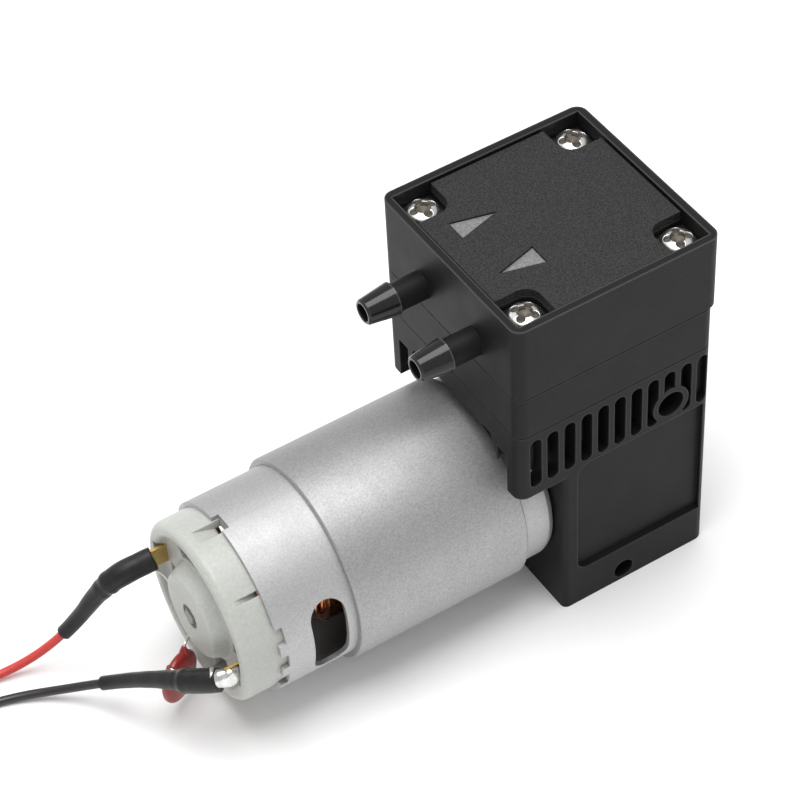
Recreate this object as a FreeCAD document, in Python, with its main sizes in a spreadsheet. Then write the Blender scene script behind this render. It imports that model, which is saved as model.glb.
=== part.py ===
import FreeCAD, Part
import math
import os
import re
import Sketcher

# Diaphragm vacuum pump with a brushed motor, in millimetres.
# +X runs along the motor shaft from the motor into the crankcase, +Z is up, and the
# origin is on the bottom face, below the centre of the pump head.

SIZES = [
    ("head_len", 40.9, "head along X"),
    ("head_wid", 40.7, "head along Y"),
    ("corner_rad", 2.1, "upright corners of the head"),
    ("back_step", 0.7, "cover overhang at the back"),
    ("case_top", 49.4, "top of the crankcase"),
    ("plate_thick", 9.1, "valve plate"),
    ("cover_high", 15.85, "head cover without nozzles"),
    ("seam_edge", 0.25, "rounded lower edges of the head cover and the valve plate"),
    ("rim_wall", 1.5, "rim round the top plate"),
    ("top_plate_thick", 1.6, "top plate"),
    ("top_plate_low", 0.45, "top plate below the rim"),
    ("top_plate_gap", 0.4, "gap between top plate and rim"),
    ("screw_in", 5.2, "cover screws from the sides of the head"),
    ("pocket_half", 3.8, "half side of a screw pocket"),
    ("pocket_low", 3.5, "screw seat below the rim"),
    ("pocket_round", 2.8, "inner corner of a screw pocket"),
    ("screw_rad", 1.5, "cover screw shank"),
    ("screw_clear", 0.2, "screw clearance in a through hole"),
    ("screw_head_rad", 3.0, "cover screw head"),
    ("screw_head_high", 2.2, "cover screw head"),
    ("screw_len", 26.6, "cover screw below its head"),
    ("cross_rad", 1.3, "middle of a cover screw's recess"),
    ("arm_reach", 1.5, "arms of a cover screw's recess, from its middle"),
    ("arm_rad", 0.7, "rounded arms of a cover screw's recess"),
    ("nozzle_y", 8.03, "nozzles from the middle"),
    ("nozzle_z", 63.4, "nozzle axis height"),
    ("nozzle_long", 11.7, "nozzle beyond the cover"),
    ("barb_long", 5.9, "barb of a nozzle"),
    ("barb_rad", 3.1, "barb shoulder"),
    ("barb_tip_rad", 2.35, "barb tip"),
    ("tip_edge", 0.3, "bevelled edge of a barb's tip"),
    ("neck_rad", 2.6, "neck of a nozzle"),
    ("port_rad", 1.7, "bore of a nozzle"),
    ("chamber_rad", 13.0, "gas chambers in the cover"),
    ("chamber_high", 10.8, "gas chambers in the cover"),
    ("chamber_wall", 2.8, "wall between the gas chambers"),
    ("gasket_in", 13.6, "gasket inner radius"),
    ("gasket_out", 15.3, "gasket outer radius"),
    ("gasket_bar", 1.4, "bar of the gasket"),
    ("gasket_thick", 1.0, "gasket"),
    ("arrow_long", 8.2, "flow arrow"),
    ("arrow_wide", 4.4, "flow arrow"),
    ("arrow_low", 0.35, "flow arrow below the top plate's face"),
    ("arrow_base_x", 6.2, "inner end of the flow arrows"),
    ("arrow_y", 6.3, "flow arrows from the middle"),
    ("valve_y", 6.2, "valves from the middle"),
    ("valve_rad", 3.6, "valve disc"),
    ("valve_thick", 0.9, "valve disc"),
    ("valve_pocket_rad", 4.3, "pocket round a valve"),
    ("valve_pocket_deep", 1.6, "pocket round a valve"),
    ("valve_stem_rad", 0.9, "valve stem"),
    ("valve_knob_rad", 1.5, "knob that holds a valve"),
    ("valve_knob_high", 1.2, "knob that holds a valve"),
    ("valve_ring_rad", 2.3, "circle of the flow holes"),
    ("flow_hole_rad", 0.55, "flow holes"),
    ("pump_rad", 13.2, "opening under the diaphragm"),
    ("pump_roof_rad", 11.6, "roof of the pumping chamber"),
    ("pump_high", 3.4, "pumping chamber"),
    ("seat_rad", 16.4, "seat of the diaphragm's rim"),
    ("seat_deep", 1.5, "seat of the diaphragm's rim"),
    ("fit_gap", 0.05, "gap of pieces that fit together"),
    ("press_gap", 0.02, "gap of pressed pieces"),
    ("membrane", 1.0, "diaphragm's membrane"),
    ("clamp_rad", 7.0, "clamp disc"),
    ("clamp_thick", 1.3, "clamp disc"),
    ("clamp_screw_rad", 1.5, "clamp screw shank"),
    ("clamp_head_rad", 2.6, "clamp screw head"),
    ("clamp_screw_len", 9.0, "clamp screw below the disc"),
    ("axis_z", 21.35, "motor axis height"),
    ("throw", 2.0, "eccentric throw"),
    ("journal_rad", 5.0, "journal of the eccentric"),
    ("bearing_rad", 9.5, "bearing outside"),
    ("bearing_wide", 5.0, "bearing"),
    ("ring_wall", 1.4, "bearing rings"),
    ("ball_rad", 1.15, "bearing balls"),
    ("rod_eye_rad", 12.0, "big end of the rod"),
    ("rod_shank_wide", 7.0, "rod shank across"),
    ("rod_head_rad", 8.0, "rod head"),
    ("rod_head_thick", 2.2, "rod head"),
    ("weight_rad", 12.5, "counterweight"),
    ("weight_thick", 3.0, "counterweight"),
    ("hub_rad", 6.4, "hub of the eccentric"),
    ("hub_long", 4.4, "hub of the eccentric"),
    ("rod_side_gap", 0.4, "gap between rod and eccentric"),
    ("grub_rad", 1.5, "grub screw"),
    ("band_bottom", 34.5, "lower edge of the slotted band"),
    ("case_front", 11.25, "motor face of the crankcase, on the -X side"),
    ("case_wall", 2.9, "side walls of the crankcase"),
    ("front_wall", 3.0, "motor wall of the crankcase"),
    ("front_skin", 2.1, "front skin of the band"),
    ("floor_thick", 5.2, "floor of the crankcase"),
    ("deck_thick", 1.45, "deck of the crankcase"),
    ("collar_rad", 17.2, "collar below the diaphragm"),
    ("collar_deep", 3.4, "collar below the diaphragm"),
    ("foot_round", 1.2, "small upright corners"),
    ("arch_top", 44.6, "front opening, middle"),
    ("arch_half", 11.9, "front opening, half width at the top"),
    ("tab_half", 13.9, "outer side of the tabs"),
    ("tab_low", 39.7, "tip of the tabs"),
    ("notch_half", 16.8, "outer side of the notches"),
    ("notch_top", 43.25, "top of the notches"),
    ("slot_in", 3.55, "first slot from the front of the head"),
    ("slot_out", 2.85, "last slot from the back of the head"),
    ("slot_half", 1.15, "half width of a slot"),
    ("slot_low", 36.6, "slots' lower end"),
    ("slot_top", 47.9, "slots' upper end"),
    ("bolt_in", 9.38, "through bolt hole from the back of the head"),
    ("bolt_z", 39.87, "through bolt hole"),
    ("bolt_rad", 2.65, "through bolt hole"),
    ("bolt_boss_rad", 3.75, "tube round the bolt hole"),
    ("foot_x", 1.7, "foot hole"),
    ("foot_z", 2.6, "foot hole"),
    ("foot_rad", 2.0, "foot hole"),
    ("panel_front", 2.95, "side recess from the motor face"),
    ("panel_back", 1.55, "side recess from the back"),
    ("panel_z_low", 8.5, "side recess"),
    ("panel_z_high", 35.8, "side recess"),
    ("panel_deep", 1.0, "side recess"),
    ("panel_round", 2.5, "side recess corners"),
    ("post_rad", 2.8, "screw posts"),
    ("post_low", 38.0, "screw posts' lower end"),
    ("pilot_rad", 1.52, "screw pilot holes"),
    ("pilot_deep", 5.5, "screw pilot holes"),
    ("cap_thick", 1.8, "rear cover"),
    ("cap_lip", 1.2, "skirt of the rear cover"),
    ("cap_deep", 4.0, "skirt of the rear cover"),
    ("can_rad", 17.9, "motor can"),
    ("can_wall", 0.9, "motor can"),
    ("can_long", 55.5, "motor can"),
    ("can_round", 1.4, "front edge of the can"),
    ("nose_rad", 6.4, "front nose of the can"),
    ("nose_long", 3.2, "front nose of the can"),
    ("nose_gap", 0.15, "nose in the crankcase bore"),
    ("can_screw_y", 12.5, "motor screws from the axis"),
    ("ring_thick", 1.27, "flux ring"),
    ("ring_front", 17.8, "front edge of the flux ring, on the -X side"),
    ("ring_long", 34.1, "flux ring"),
    ("ring_seam", 0.5, "seam of the flux ring"),
    ("ring_edge", 0.25, "bevelled edges of the flux ring"),
    ("vent_x", 57.0, "vent window's middle, on the -X side"),
    ("vent_rad", 3.35, "vent window's half width"),
    ("vent_high", 16.4, "vent window"),
    ("notch_deep", 1.35, "notches in the can's rim"),
    ("air_gap", 0.6, "gap between the core and the magnets"),
    ("magnet_front", 18.2, "magnets' front end, on the -X side"),
    ("magnet_long", 29.5, "magnets"),
    ("core_rad", 12.3, "armature core"),
    ("core_front", 19.0, "core's front end, on the -X side"),
    ("core_long", 28.0, "armature core"),
    ("shaft_rad", 1.5875, "motor shaft"),
    ("shaft_front", 3.0, "front end of the shaft"),
    ("shaft_flat", 0.35, "flat of the shaft"),
    ("flat_long", 9.5, "flat of the shaft"),
    ("shaft_rear", 74.7, "rear end of the shaft, on the -X side"),
    ("brush_ring_rad", 4.6, "commutator"),
    ("brush_ring_rear", 66.2, "commutator's rear end, on the -X side"),
    ("brush_ring_long", 8.0, "commutator"),
    ("bell_rad", 16.95, "end bell"),
    ("bell_rear", 73.2, "rim of the end bell, on the -X side"),
    ("bell_plug", 5.2, "end bell inside the can"),
    ("bell_floor", 71.7, "recessed face of the end bell, on the -X side"),
    ("bell_in", 69.3, "inner face of the end bell, on the -X side"),
    ("bell_rim_in", 14.4, "inside of the end bell's rim"),
    ("bell_round", 1.3, "outer edge of the end bell"),
    ("bell_soft", 0.7, "other edges of the end bell"),
    ("ramp_long", 5.6, "ramped slots of the end bell, from its inner end"),
    ("ramp_deep", 2.0, "ramped slots of the end bell"),
    ("kidney_in", 9.8, "kidney openings of the end bell"),
    ("kidney_out", 13.9, "kidney openings of the end bell"),
    ("dent_in", 11.0, "shallow pockets of the end bell"),
    ("dent_out", 13.0, "shallow pockets of the end bell"),
    ("dent_deep", 1.2, "shallow pockets of the end bell"),
    ("hub_face", 74.5, "hub of the end bell, on the -X side"),
    ("bell_hub_rad", 7.8, "hub of the end bell"),
    ("hub_slope", 1.3, "hub of the end bell, wider at its foot"),
    ("bush_rad", 2.3, "rear bush"),
    ("bush_long", 5.4, "rear bush"),
    ("front_bush_long", 4.0, "front bush"),
    ("brush_long", 3.6, "brush along the shaft"),
    ("brush_side", 3.2, "brush across"),
    ("arm_thick", 0.35, "brush arm"),
    ("tab_y", 12.5, "terminals from the axis"),
    ("tab_z", 3.1, "terminals above and below the axis"),
    ("tab_wide", 4.2, "terminal"),
    ("tab_thick", 0.6, "terminal"),
    ("tab_rear", 75.4, "end of the lower terminal, on the -X side"),
    ("tab_longer", 1.5, "upper terminal beyond the lower one"),
    ("tab_tip", 3.0, "tip of the upper terminal"),
    ("tab_tip_long", 2.2, "tip of the upper terminal"),
    ("disc_rad", 5.5, "capacitor disc"),
    ("disc_thick", 2.4, "capacitor disc"),
    ("disc_x", 78.0, "capacitor disc, on the -X side"),
    ("disc_y", 0.3, "capacitor disc"),
    ("disc_z", 7.2, "capacitor disc"),
    ("leg_rad", 0.3, "capacitor legs"),
    ("wire_rad", 0.8, "lead"),
    ("sleeve_rad", 1.55, "heat-shrink sleeve"),
    ("sleeve_end_rad", 2.4, "heat-shrink sleeve over a terminal"),
    ("sleeve_over", 2.0, "heat-shrink sleeve over a terminal"),
    ("sleeve_taper", 1.8, "heat-shrink sleeve, from its wide end to its narrow part"),
    ("coil_rad", 8.85, "put-away coil, middle of its turns"),
    ("coil_wide", 3.5, "put-away coil, across its turns"),
    ("coil_high", 1.8, "put-away coil"),
    ("tie_thick", 0.5, "tie"),
    ("tie_wide", 2.5, "tie"),
    ("tie_slack", 0.3, "tie, across the coil"),
    ("tail_long", 3.5, "lead between its coil and its tinned end"),
    ("tin_long", 5.0, "tinned end"),
]

# Lead routes from the terminal to the put-away coil: points of a path whose corners
# are rounded as far as the runs beside them allow.
RED_ROUTE = [
    (-77.24, 12.56, 24.4), (-81.0, 13.2, 23.8), (-84.6, 15.0, 19.5), (-87.6, 17.2, 13.3),
    (-91.5, 19.4, 7.6), (-96.8, 21.6, 3.0), (-103.6, 23.3, 0.9), (-110.6, 24.5, 0.85),
    (-115.0, 24.6, 1.4),
]
BLACK_ROUTE = [
    (-76.6, -12.4, 18.5), (-79.6, -9.6, 17.3), (-82.6, -4.4, 14.6), (-85.6, 1.4, 10.6),
    (-89.3, 7.2, 6.2), (-94.6, 12.6, 2.6), (-101.4, 17.0, 0.9), (-108.6, 19.0, 0.85),
    (-116.0, 19.2, 0.85), (-123.0, 19.1, 1.4),
]
COILS = {"red": (-115.0, 34.3), "black": (-123.0, 9.4)}
# Where each coil lets its last piece go, as an angle, and which way the turns run.
TAILS = {"red": (-30.0, -1), "black": (30.0, 1)}

doc = FreeCAD.newDocument("diaphragm_pump")
sheet = doc.addObject("Spreadsheet::Sheet", "dims")
for row, (alias, value, note) in enumerate(SIZES, 1):
    sheet.set("A%d" % row, alias)
    sheet.set("B%d" % row, repr(value))
    sheet.set("C%d" % row, note)
    sheet.setAlias("B%d" % row, alias)
doc.recompute()

NAMES = {alias for alias, _, _ in SIZES}
WORD = re.compile(r"[a-z]+(?:_[a-z]+)*")
PIECES = {}


def sized(text):
    """The text as an expression, with each size's name tied to its cell."""
    return WORD.sub(lambda w: "dims." + w.group() if w.group() in NAMES else w.group(), str(text))


def value_of(text):
    return float(sheet.evalExpression(sized(text)))


def vector(x, y, z):
    return FreeCAD.Vector(value_of(x), value_of(y), value_of(z))


def piece(name, thing):
    """Names a finished sub-part, and so its file."""
    thing.Label = name
    PIECES[name] = thing
    return thing


def plane_of(body, role):
    return next(o for o in body.Origin.OriginFeatures if o.Role == role)


def sketch_on(body, role, away="0"):
    """A sketch on one of the body's own planes, moved along the plane's normal."""
    sk = body.newObject("Sketcher::SketchObject", "sketch")
    sk.AttachmentSupport = (plane_of(body, role), [""])
    sk.MapMode = "FlatFace"
    if str(away) != "0":
        sk.setExpression("AttachmentOffset.Base.z", sized(away))
    return sk


def hold(sk, geo, end, along, expression):
    """Ties one coordinate of a point of the sketch to the sheet."""
    if str(expression) == "0":
        axis = -2 if along == "X" else -1
        sk.addConstraint(Sketcher.Constraint("PointOnObject", geo, end, axis))
        return
    kind = "Distance" + along
    number = sk.addConstraint(Sketcher.Constraint(kind, -1, 1, geo, end, value_of(expression)))
    sk.setExpression("Constraints[%d]" % number, sized(expression))


def outline(sk, corners):
    """A closed outline of straight lines through corners given as two expressions each."""
    points = [vector(a, b, "0") for a, b in corners]
    first, count = sk.GeometryCount, len(corners)
    for k in range(count):
        sk.addGeometry(Part.LineSegment(points[k], points[(k + 1) % count]), False)
    for k in range(count):
        joint = Sketcher.Constraint("Coincident", first + k, 2, first + (k + 1) % count, 1)
        sk.addConstraint(joint)
    for k, (a, b) in enumerate(corners):
        hold(sk, first + k, 1, "X", a)
        hold(sk, first + k, 1, "Y", b)


def block(sk, low_x, high_x, low_y, high_y):
    outline(sk, [(low_x, low_y), (high_x, low_y), (high_x, high_y), (low_x, high_y)])


def ring(sk, x, y, radius):
    """A circle whose centre and radius are tied to the sheet."""
    circle = Part.Circle(vector(x, y, "0"), FreeCAD.Vector(0, 0, 1), value_of(radius))
    geo = sk.addGeometry(circle, False)
    number = sk.addConstraint(Sketcher.Constraint("Radius", geo, value_of(radius)))
    sk.setExpression("Constraints[%d]" % number, sized(radius))
    hold(sk, geo, 3, "X", x)
    hold(sk, geo, 3, "Y", y)


def slot(sk, x, low, high, half):
    """An upright slot with round ends: two half circles joined by two lines."""
    bottom, top = "%s + %s" % (low, half), "%s - %s" % (high, half)
    rad, up = value_of(half), FreeCAD.Vector(0, 0, 1)
    upper = Part.Circle(vector(x, top, "0"), up, rad)
    lower = Part.Circle(vector(x, bottom, "0"), up, rad)
    side = FreeCAD.Vector(rad, 0, 0)
    a = sk.addGeometry(Part.ArcOfCircle(upper, 0, math.pi), False)
    b = sk.addGeometry(Part.LineSegment(upper.Center - side, lower.Center - side), False)
    c = sk.addGeometry(Part.ArcOfCircle(lower, math.pi, 2 * math.pi), False)
    d = sk.addGeometry(Part.LineSegment(lower.Center + side, upper.Center + side), False)
    for one, end, other, start in ((a, 2, b, 1), (b, 2, c, 1), (c, 2, d, 1), (d, 2, a, 1)):
        sk.addConstraint(Sketcher.Constraint("Tangent", one, end, other, start))
    hold(sk, a, 3, "X", x)
    hold(sk, a, 3, "Y", top)
    hold(sk, c, 3, "Y", bottom)
    number = sk.addConstraint(Sketcher.Constraint("Radius", a, rad))
    sk.setExpression("Constraints[%d]" % number, sized(half))
    sk.addConstraint(Sketcher.Constraint("Vertical", b))


def kidney(sk, near, far, start, end):
    """A stretch of a ring about the sketch's middle, between two radii and two angles."""
    turns = [math.radians(start), math.radians(end)]
    middle, up = FreeCAD.Vector(0, 0, 0), FreeCAD.Vector(0, 0, 1)
    arcs = []
    for radius in (near, far):
        whole = Part.Circle(middle, up, value_of(radius))
        arc = sk.addGeometry(Part.ArcOfCircle(whole, turns[0], turns[1]), False)
        sk.addConstraint(Sketcher.Constraint("Coincident", arc, 3, -1, 1))
        number = sk.addConstraint(Sketcher.Constraint("Radius", arc, value_of(radius)))
        sk.setExpression("Constraints[%d]" % number, sized(radius))
        arcs.append(arc)
    for end_of, turn in ((1, turns[0]), (2, turns[1])):
        out = FreeCAD.Vector(math.cos(turn), math.sin(turn), 0)
        line = sk.addGeometry(Part.LineSegment(out * value_of(near), out * value_of(far)), False)
        for point, arc, radius in ((1, arcs[0], near), (2, arcs[1], far)):
            sk.addConstraint(Sketcher.Constraint("Coincident", line, point, arc, end_of))
            flat = abs(math.cos(turn)) < 0.7
            part = math.cos(turn) if flat else math.sin(turn)
            hold(sk, line, point, "X" if flat else "Y", "(%s) * %.6f" % (radius, part))


def pad(body, sk, length, back=False, middle=False):
    """Adds the sketch's area, drawn out by length."""
    step = body.newObject("PartDesign::Pad", "pad")
    step.Profile = sk
    step.setExpression("Length", sized(length))
    step.Reversed = back
    step.Midplane = middle
    doc.recompute()
    return step


def pocket(body, sk, length, back=False, middle=False):
    """Takes the sketch's area away, down to length."""
    before = body.Shape.Volume
    step = body.newObject("PartDesign::Pocket", "pocket")
    step.Profile = sk
    step.setExpression("Length", sized(length))
    step.Reversed = back
    step.Midplane = middle
    doc.recompute()
    if step.Shape.Volume > before - 1e-6:
        raise ValueError("a pocket of %s takes nothing away" % body.Label)
    return step


def turned(body, corners, role="XZ_Plane", axis="V_Axis", groove=False, angle=None, away="0"):
    """Turns a closed outline about an axis of its sketch, as a solid or as a groove."""
    sk = sketch_on(body, role, away)
    outline(sk, corners)
    kind = "PartDesign::Groove" if groove else "PartDesign::Revolution"
    before = body.Shape.Volume if groove else 0.0
    step = body.newObject(kind, "turn")
    step.Profile = sk
    step.ReferenceAxis = (sk, [axis])
    if angle:
        step.setExpression("Angle", sized(angle))
        step.Midplane = True
    doc.recompute()
    if groove and step.Shape.Volume > before - 1e-6:
        raise ValueError("a groove of %s takes nothing away" % body.Label)
    return step


def repeat(body, step, count, axis_role="X_Axis"):
    """Repeats a step evenly about one of the body's own axes."""
    pattern = body.newObject("PartDesign::PolarPattern", "pattern")
    pattern.Originals = [step]
    pattern.Axis = (plane_of(body, axis_role), [""])
    pattern.Angle = 360
    pattern.Occurrences = count
    body.Tip = pattern
    doc.recompute()
    return pattern


def round_edges(body, radius, wanted):
    """Rounds the edges of the body that the test picks."""
    last = body.Tip
    names = ["Edge%d" % (k + 1) for k, edge in enumerate(last.Shape.Edges) if wanted(edge)]
    if not names:
        raise ValueError("no edge to round on %s" % body.Label)
    step = body.newObject("PartDesign::Fillet", "round")
    step.Base = (last, names)
    step.setExpression("Radius", sized(radius))
    doc.recompute()
    return step


def upright(edge, x, y, reach=0.05):
    """Whether an edge is vertical and near one of the places (x, y)."""
    ends = [v.Point for v in edge.Vertexes]
    if len(ends) != 2 or abs(ends[0].x - ends[1].x) > 1e-6 or abs(ends[0].y - ends[1].y) > 1e-6:
        return False
    return any(abs(ends[0].x - a) < reach for a in x) and any(abs(ends[0].y - b) < reach for b in y)


def level(edge, z):
    """Whether an edge lies flat at a height."""
    low, high = edge.BoundBox.ZMin, edge.BoundBox.ZMax
    return abs(low - value_of(z)) < 1e-4 and abs(high - value_of(z)) < 1e-4


def circle_at(edge, x, radius):
    """Whether an edge is a circle about X at the given place, of the given radius."""
    if not isinstance(edge.Curve, Part.Circle) or abs(edge.Curve.Radius - value_of(radius)) > 0.01:
        return False
    return abs(edge.Vertexes[0].Point.x - value_of(x)) < 0.01


def body_named(name):
    body = doc.addObject("PartDesign::Body", name + "_body")
    return piece(name, body)


def loose_body(name):
    """A body that becomes one member of a group of like pieces."""
    return doc.addObject("PartDesign::Body", name)


def group(name, members):
    compound = doc.addObject("Part::Compound", name + "_group")
    compound.Links = members
    return piece(name, compound)


def put(thing, x="0", y="0", z="0"):
    """Ties a sub-part's place to the sheet."""
    for axis, text in (("x", x), ("y", y), ("z", z)):
        if str(text) != "0":
            thing.setExpression("Placement.Base." + axis, sized(text))


HALF_LEN, HALF_WID = "head_len / 2", "head_wid / 2"
CASE_BACK = "head_len / 2 - back_step"
SEAM = "case_top + plate_thick"
TOP = "case_top + plate_thick + cover_high"
CORNERS = [(sx, sy) for sx in (-1, 1) for sy in (-1, 1)]


SCREW_X, SCREW_Y = "(head_len / 2 - screw_in)", "(head_wid / 2 - screw_in)"
NEAR_X, NEAR_Y = "(head_len / 2 - screw_in - pocket_half)", "(head_wid / 2 - screw_in - pocket_half)"


def cover_screw_places():
    return [("%d * %s" % (sx, SCREW_X), "%d * %s" % (sy, SCREW_Y)) for sx, sy in CORNERS]


def head_cover():
    body = body_named("head_cover")
    sk = sketch_on(body, "XY_Plane", SEAM)
    block(sk, "-%s" % HALF_LEN, HALF_LEN, "-%s" % HALF_WID, HALF_WID)
    pad(body, sk, "cover_high")
    half_x, half_y = value_of(HALF_LEN), value_of(HALF_WID)
    round_edges(body, "corner_rad", lambda e: upright(e, (-half_x, half_x), (-half_y, half_y)))
    round_edges(body, "seam_edge", lambda e: level(e, SEAM))
    # two hose nozzles on the motor side, each with one barb
    for side in ("-", ""):
        at_y = side + "nozzle_y"
        wall, tip = "-%s" % HALF_LEN, "-%s - nozzle_long" % HALF_LEN
        turned_nozzle(body, at_y, wall, tip)
    # the recess of the top plate and the deeper pockets of the screws
    sk = sketch_on(body, "XY_Plane", TOP)
    inner_x, inner_y = "(%s - rim_wall)" % HALF_LEN, "(%s - rim_wall)" % HALF_WID
    block(sk, "-%s" % inner_x, inner_x, "-%s" % inner_y, inner_y)
    pocket(body, sk, "top_plate_thick + top_plate_low")
    sk = sketch_on(body, "XY_Plane", TOP)
    for sx, sy in CORNERS:
        near_x, far_x = "%d * %s" % (sx, NEAR_X), "%d * %s" % (sx, inner_x)
        near_y, far_y = "%d * %s" % (sy, NEAR_Y), "%d * %s" % (sy, inner_y)
        block(sk, near_x, far_x, near_y, far_y)
    pocket(body, sk, "pocket_low")
    near_x, near_y = value_of(NEAR_X), value_of(NEAR_Y)
    round_edges(body, "pocket_round", lambda e: upright(e, (-near_x, near_x), (-near_y, near_y)))
    sk = sketch_on(body, "XY_Plane", TOP)
    for x, y in cover_screw_places():
        ring(sk, x, y, "screw_rad + screw_clear")
    pocket(body, sk, "cover_high")
    # two half-round gas chambers below, with a wall between them
    sk = sketch_on(body, "XY_Plane", SEAM)
    ring(sk, "0", "0", "chamber_rad")
    pocket(body, sk, "chamber_high", back=True)
    sk = sketch_on(body, "XY_Plane", SEAM)
    reach, half = "(chamber_rad + fit_gap)", "chamber_wall / 2"
    block(sk, "-%s" % reach, reach, "-%s" % half, half)
    pad(body, sk, "chamber_high + fit_gap")
    # the gasket's groove: a ring and a bar across it
    sk = sketch_on(body, "XY_Plane", SEAM)
    ring(sk, "0", "0", "gasket_out + fit_gap")
    ring(sk, "0", "0", "gasket_in - fit_gap")
    pocket(body, sk, "gasket_thick", back=True)
    sk = sketch_on(body, "XY_Plane", SEAM)
    half = "(gasket_bar / 2 + fit_gap)"
    block(sk, "-gasket_in", "gasket_in", "-%s" % half, half)
    pocket(body, sk, "gasket_thick", back=True)
    # the bores, from the nozzles' tips into the chambers
    sk = sketch_on(body, "YZ_Plane", "-%s - nozzle_long" % HALF_LEN)
    for side in ("-", ""):
        ring(sk, side + "nozzle_y", "nozzle_z", "port_rad")
    pocket(body, sk, "nozzle_long + %s - chamber_rad + chamber_rad / 3" % HALF_LEN, back=True)


def turned_nozzle(body, at_y, wall, tip):
    """A hose nozzle: a neck, then a barb that tapers from its shoulder to the tip."""
    sk = sketch_on(body, "XY_Plane", "nozzle_z")
    shoulder = "(%s + barb_long)" % tip
    inside = "(%s + rim_wall)" % wall
    outline(sk, [
        (tip, at_y), (tip, "%s + barb_tip_rad - tip_edge" % at_y),
        ("%s + tip_edge" % tip, "%s + barb_tip_rad" % at_y), (shoulder, "%s + barb_rad" % at_y),
        (shoulder, "%s + neck_rad" % at_y), (inside, "%s + neck_rad" % at_y), (inside, at_y),
    ])
    step = body.newObject("PartDesign::Revolution", "nozzle")
    step.Profile = sk
    axis = sk.addGeometry(Part.LineSegment(vector(tip, at_y, "0"), vector(inside, at_y, "0")), True)
    for end, x in ((1, tip), (2, inside)):
        hold(sk, axis, end, "X", x)
        hold(sk, axis, end, "Y", at_y)
    step.ReferenceAxis = (sk, ["Axis0"])
    doc.recompute()


def head_gasket():
    body = body_named("head_gasket")
    sk = sketch_on(body, "XY_Plane", SEAM)
    ring(sk, "0", "0", "gasket_out")
    ring(sk, "0", "0", "gasket_in")
    pad(body, sk, "gasket_thick")
    sk = sketch_on(body, "XY_Plane", SEAM)
    block(sk, "-gasket_in - fit_gap", "gasket_in + fit_gap", "-gasket_bar / 2", "gasket_bar / 2")
    pad(body, sk, "gasket_thick")


def top_plate():
    body = body_named("top_plate")
    face = "%s - top_plate_low" % TOP
    sk = sketch_on(body, "XY_Plane", face)
    far_x = "(%s - rim_wall - top_plate_gap)" % HALF_LEN
    far_y = "(%s - rim_wall - top_plate_gap)" % HALF_WID
    outline(sk, [
        ("-" + far_x, "-" + NEAR_Y), ("-" + NEAR_X, "-" + NEAR_Y), ("-" + NEAR_X, "-" + far_y),
        (NEAR_X, "-" + far_y), (NEAR_X, "-" + NEAR_Y), (far_x, "-" + NEAR_Y),
        (far_x, NEAR_Y), (NEAR_X, NEAR_Y), (NEAR_X, far_y),
        ("-" + NEAR_X, far_y), ("-" + NEAR_X, NEAR_Y), ("-" + far_x, NEAR_Y),
    ])
    pad(body, sk, "top_plate_thick", back=True)
    near_x, near_y = value_of(NEAR_X), value_of(NEAR_Y)
    round_edges(body, "pocket_round", lambda e: upright(e, (-near_x, near_x), (-near_y, near_y)))
    sk = sketch_on(body, "XY_Plane", face)
    for corners in arrow_corners("0"):
        outline(sk, corners)
    pocket(body, sk, "top_plate_thick")


def arrow_corners(gap):
    """The two flow arrows: in on the +Y side, out on the -Y side."""
    inner, outer = "(-arrow_base_x)", "(-arrow_base_x - arrow_long)"
    half = "(arrow_wide / 2 - %s)" % gap
    inlet = [
        ("%s + %s" % (outer, gap), "arrow_y - %s" % half),
        ("%s - 2 * %s" % (inner, gap), "arrow_y"),
        ("%s + %s" % (outer, gap), "arrow_y + %s" % half),
    ]
    outlet = [
        ("%s - %s" % (inner, gap), "-arrow_y + %s" % half),
        ("%s + 2 * %s" % (outer, gap), "-arrow_y"),
        ("%s - %s" % (inner, gap), "-arrow_y - %s" % half),
    ]
    return inlet, outlet


def flow_arrows():
    members = []
    for corners in arrow_corners("fit_gap"):
        body = loose_body("arrow")
        sk = sketch_on(body, "XY_Plane", "%s - top_plate_low - arrow_low" % TOP)
        outline(sk, corners)
        pad(body, sk, "top_plate_thick - arrow_low", back=True)
        members.append(body)
    group("flow_arrows", members)


def cross_recess(body, face, radius, deep, half="0.45"):
    """A cross recess in a screw's head, at the height of its face."""
    sk = sketch_on(body, "XY_Plane", face)
    outline(sk, [
        ("-" + radius, "-" + half), ("-" + half, "-" + half), ("-" + half, "-" + radius),
        (half, "-" + radius), (half, "-" + half), (radius, "-" + half),
        (radius, half), (half, half), (half, radius),
        ("-" + half, radius), ("-" + half, half), ("-" + radius, half),
    ])
    pocket(body, sk, deep)


def wide_cross(body, face, deep):
    """A cross recess with wide arms: a round hole and four smaller ones round its edge."""
    sk = sketch_on(body, "XY_Plane", face)
    ring(sk, "0", "0", "cross_rad")
    pocket(body, sk, deep)
    sk = sketch_on(body, "XY_Plane", face)
    ring(sk, "arm_reach", "0", "arm_rad")
    step = pocket(body, sk, deep)
    repeat(body, step, 4, "Z_Axis")


def pan_screw(name, head_rad, head_high, shank_rad, shank_long):
    """A screw with its head's underside at its own height 0, pointing down."""
    body = loose_body(name)
    turned(body, [
        ("0", "-(%s)" % shank_long), (shank_rad, "-(%s)" % shank_long), (shank_rad, "0"),
        (head_rad, "0"), (head_rad, "%s / 2" % head_high),
        ("%s * 0.8" % head_rad, "%s * 0.85" % head_high), ("%s * 0.45" % head_rad, head_high),
        ("0", head_high),
    ])
    wide_cross(body, head_high, "%s * 0.6" % head_high)
    return body


def cover_screws():
    members = []
    for x, y in cover_screw_places():
        body = pan_screw("cover_screw", "screw_head_rad", "screw_head_high", "screw_rad", "screw_len")
        put(body, x, y, "%s - pocket_low" % TOP)
        members.append(body)
    group("cover_screws", members)


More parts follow.
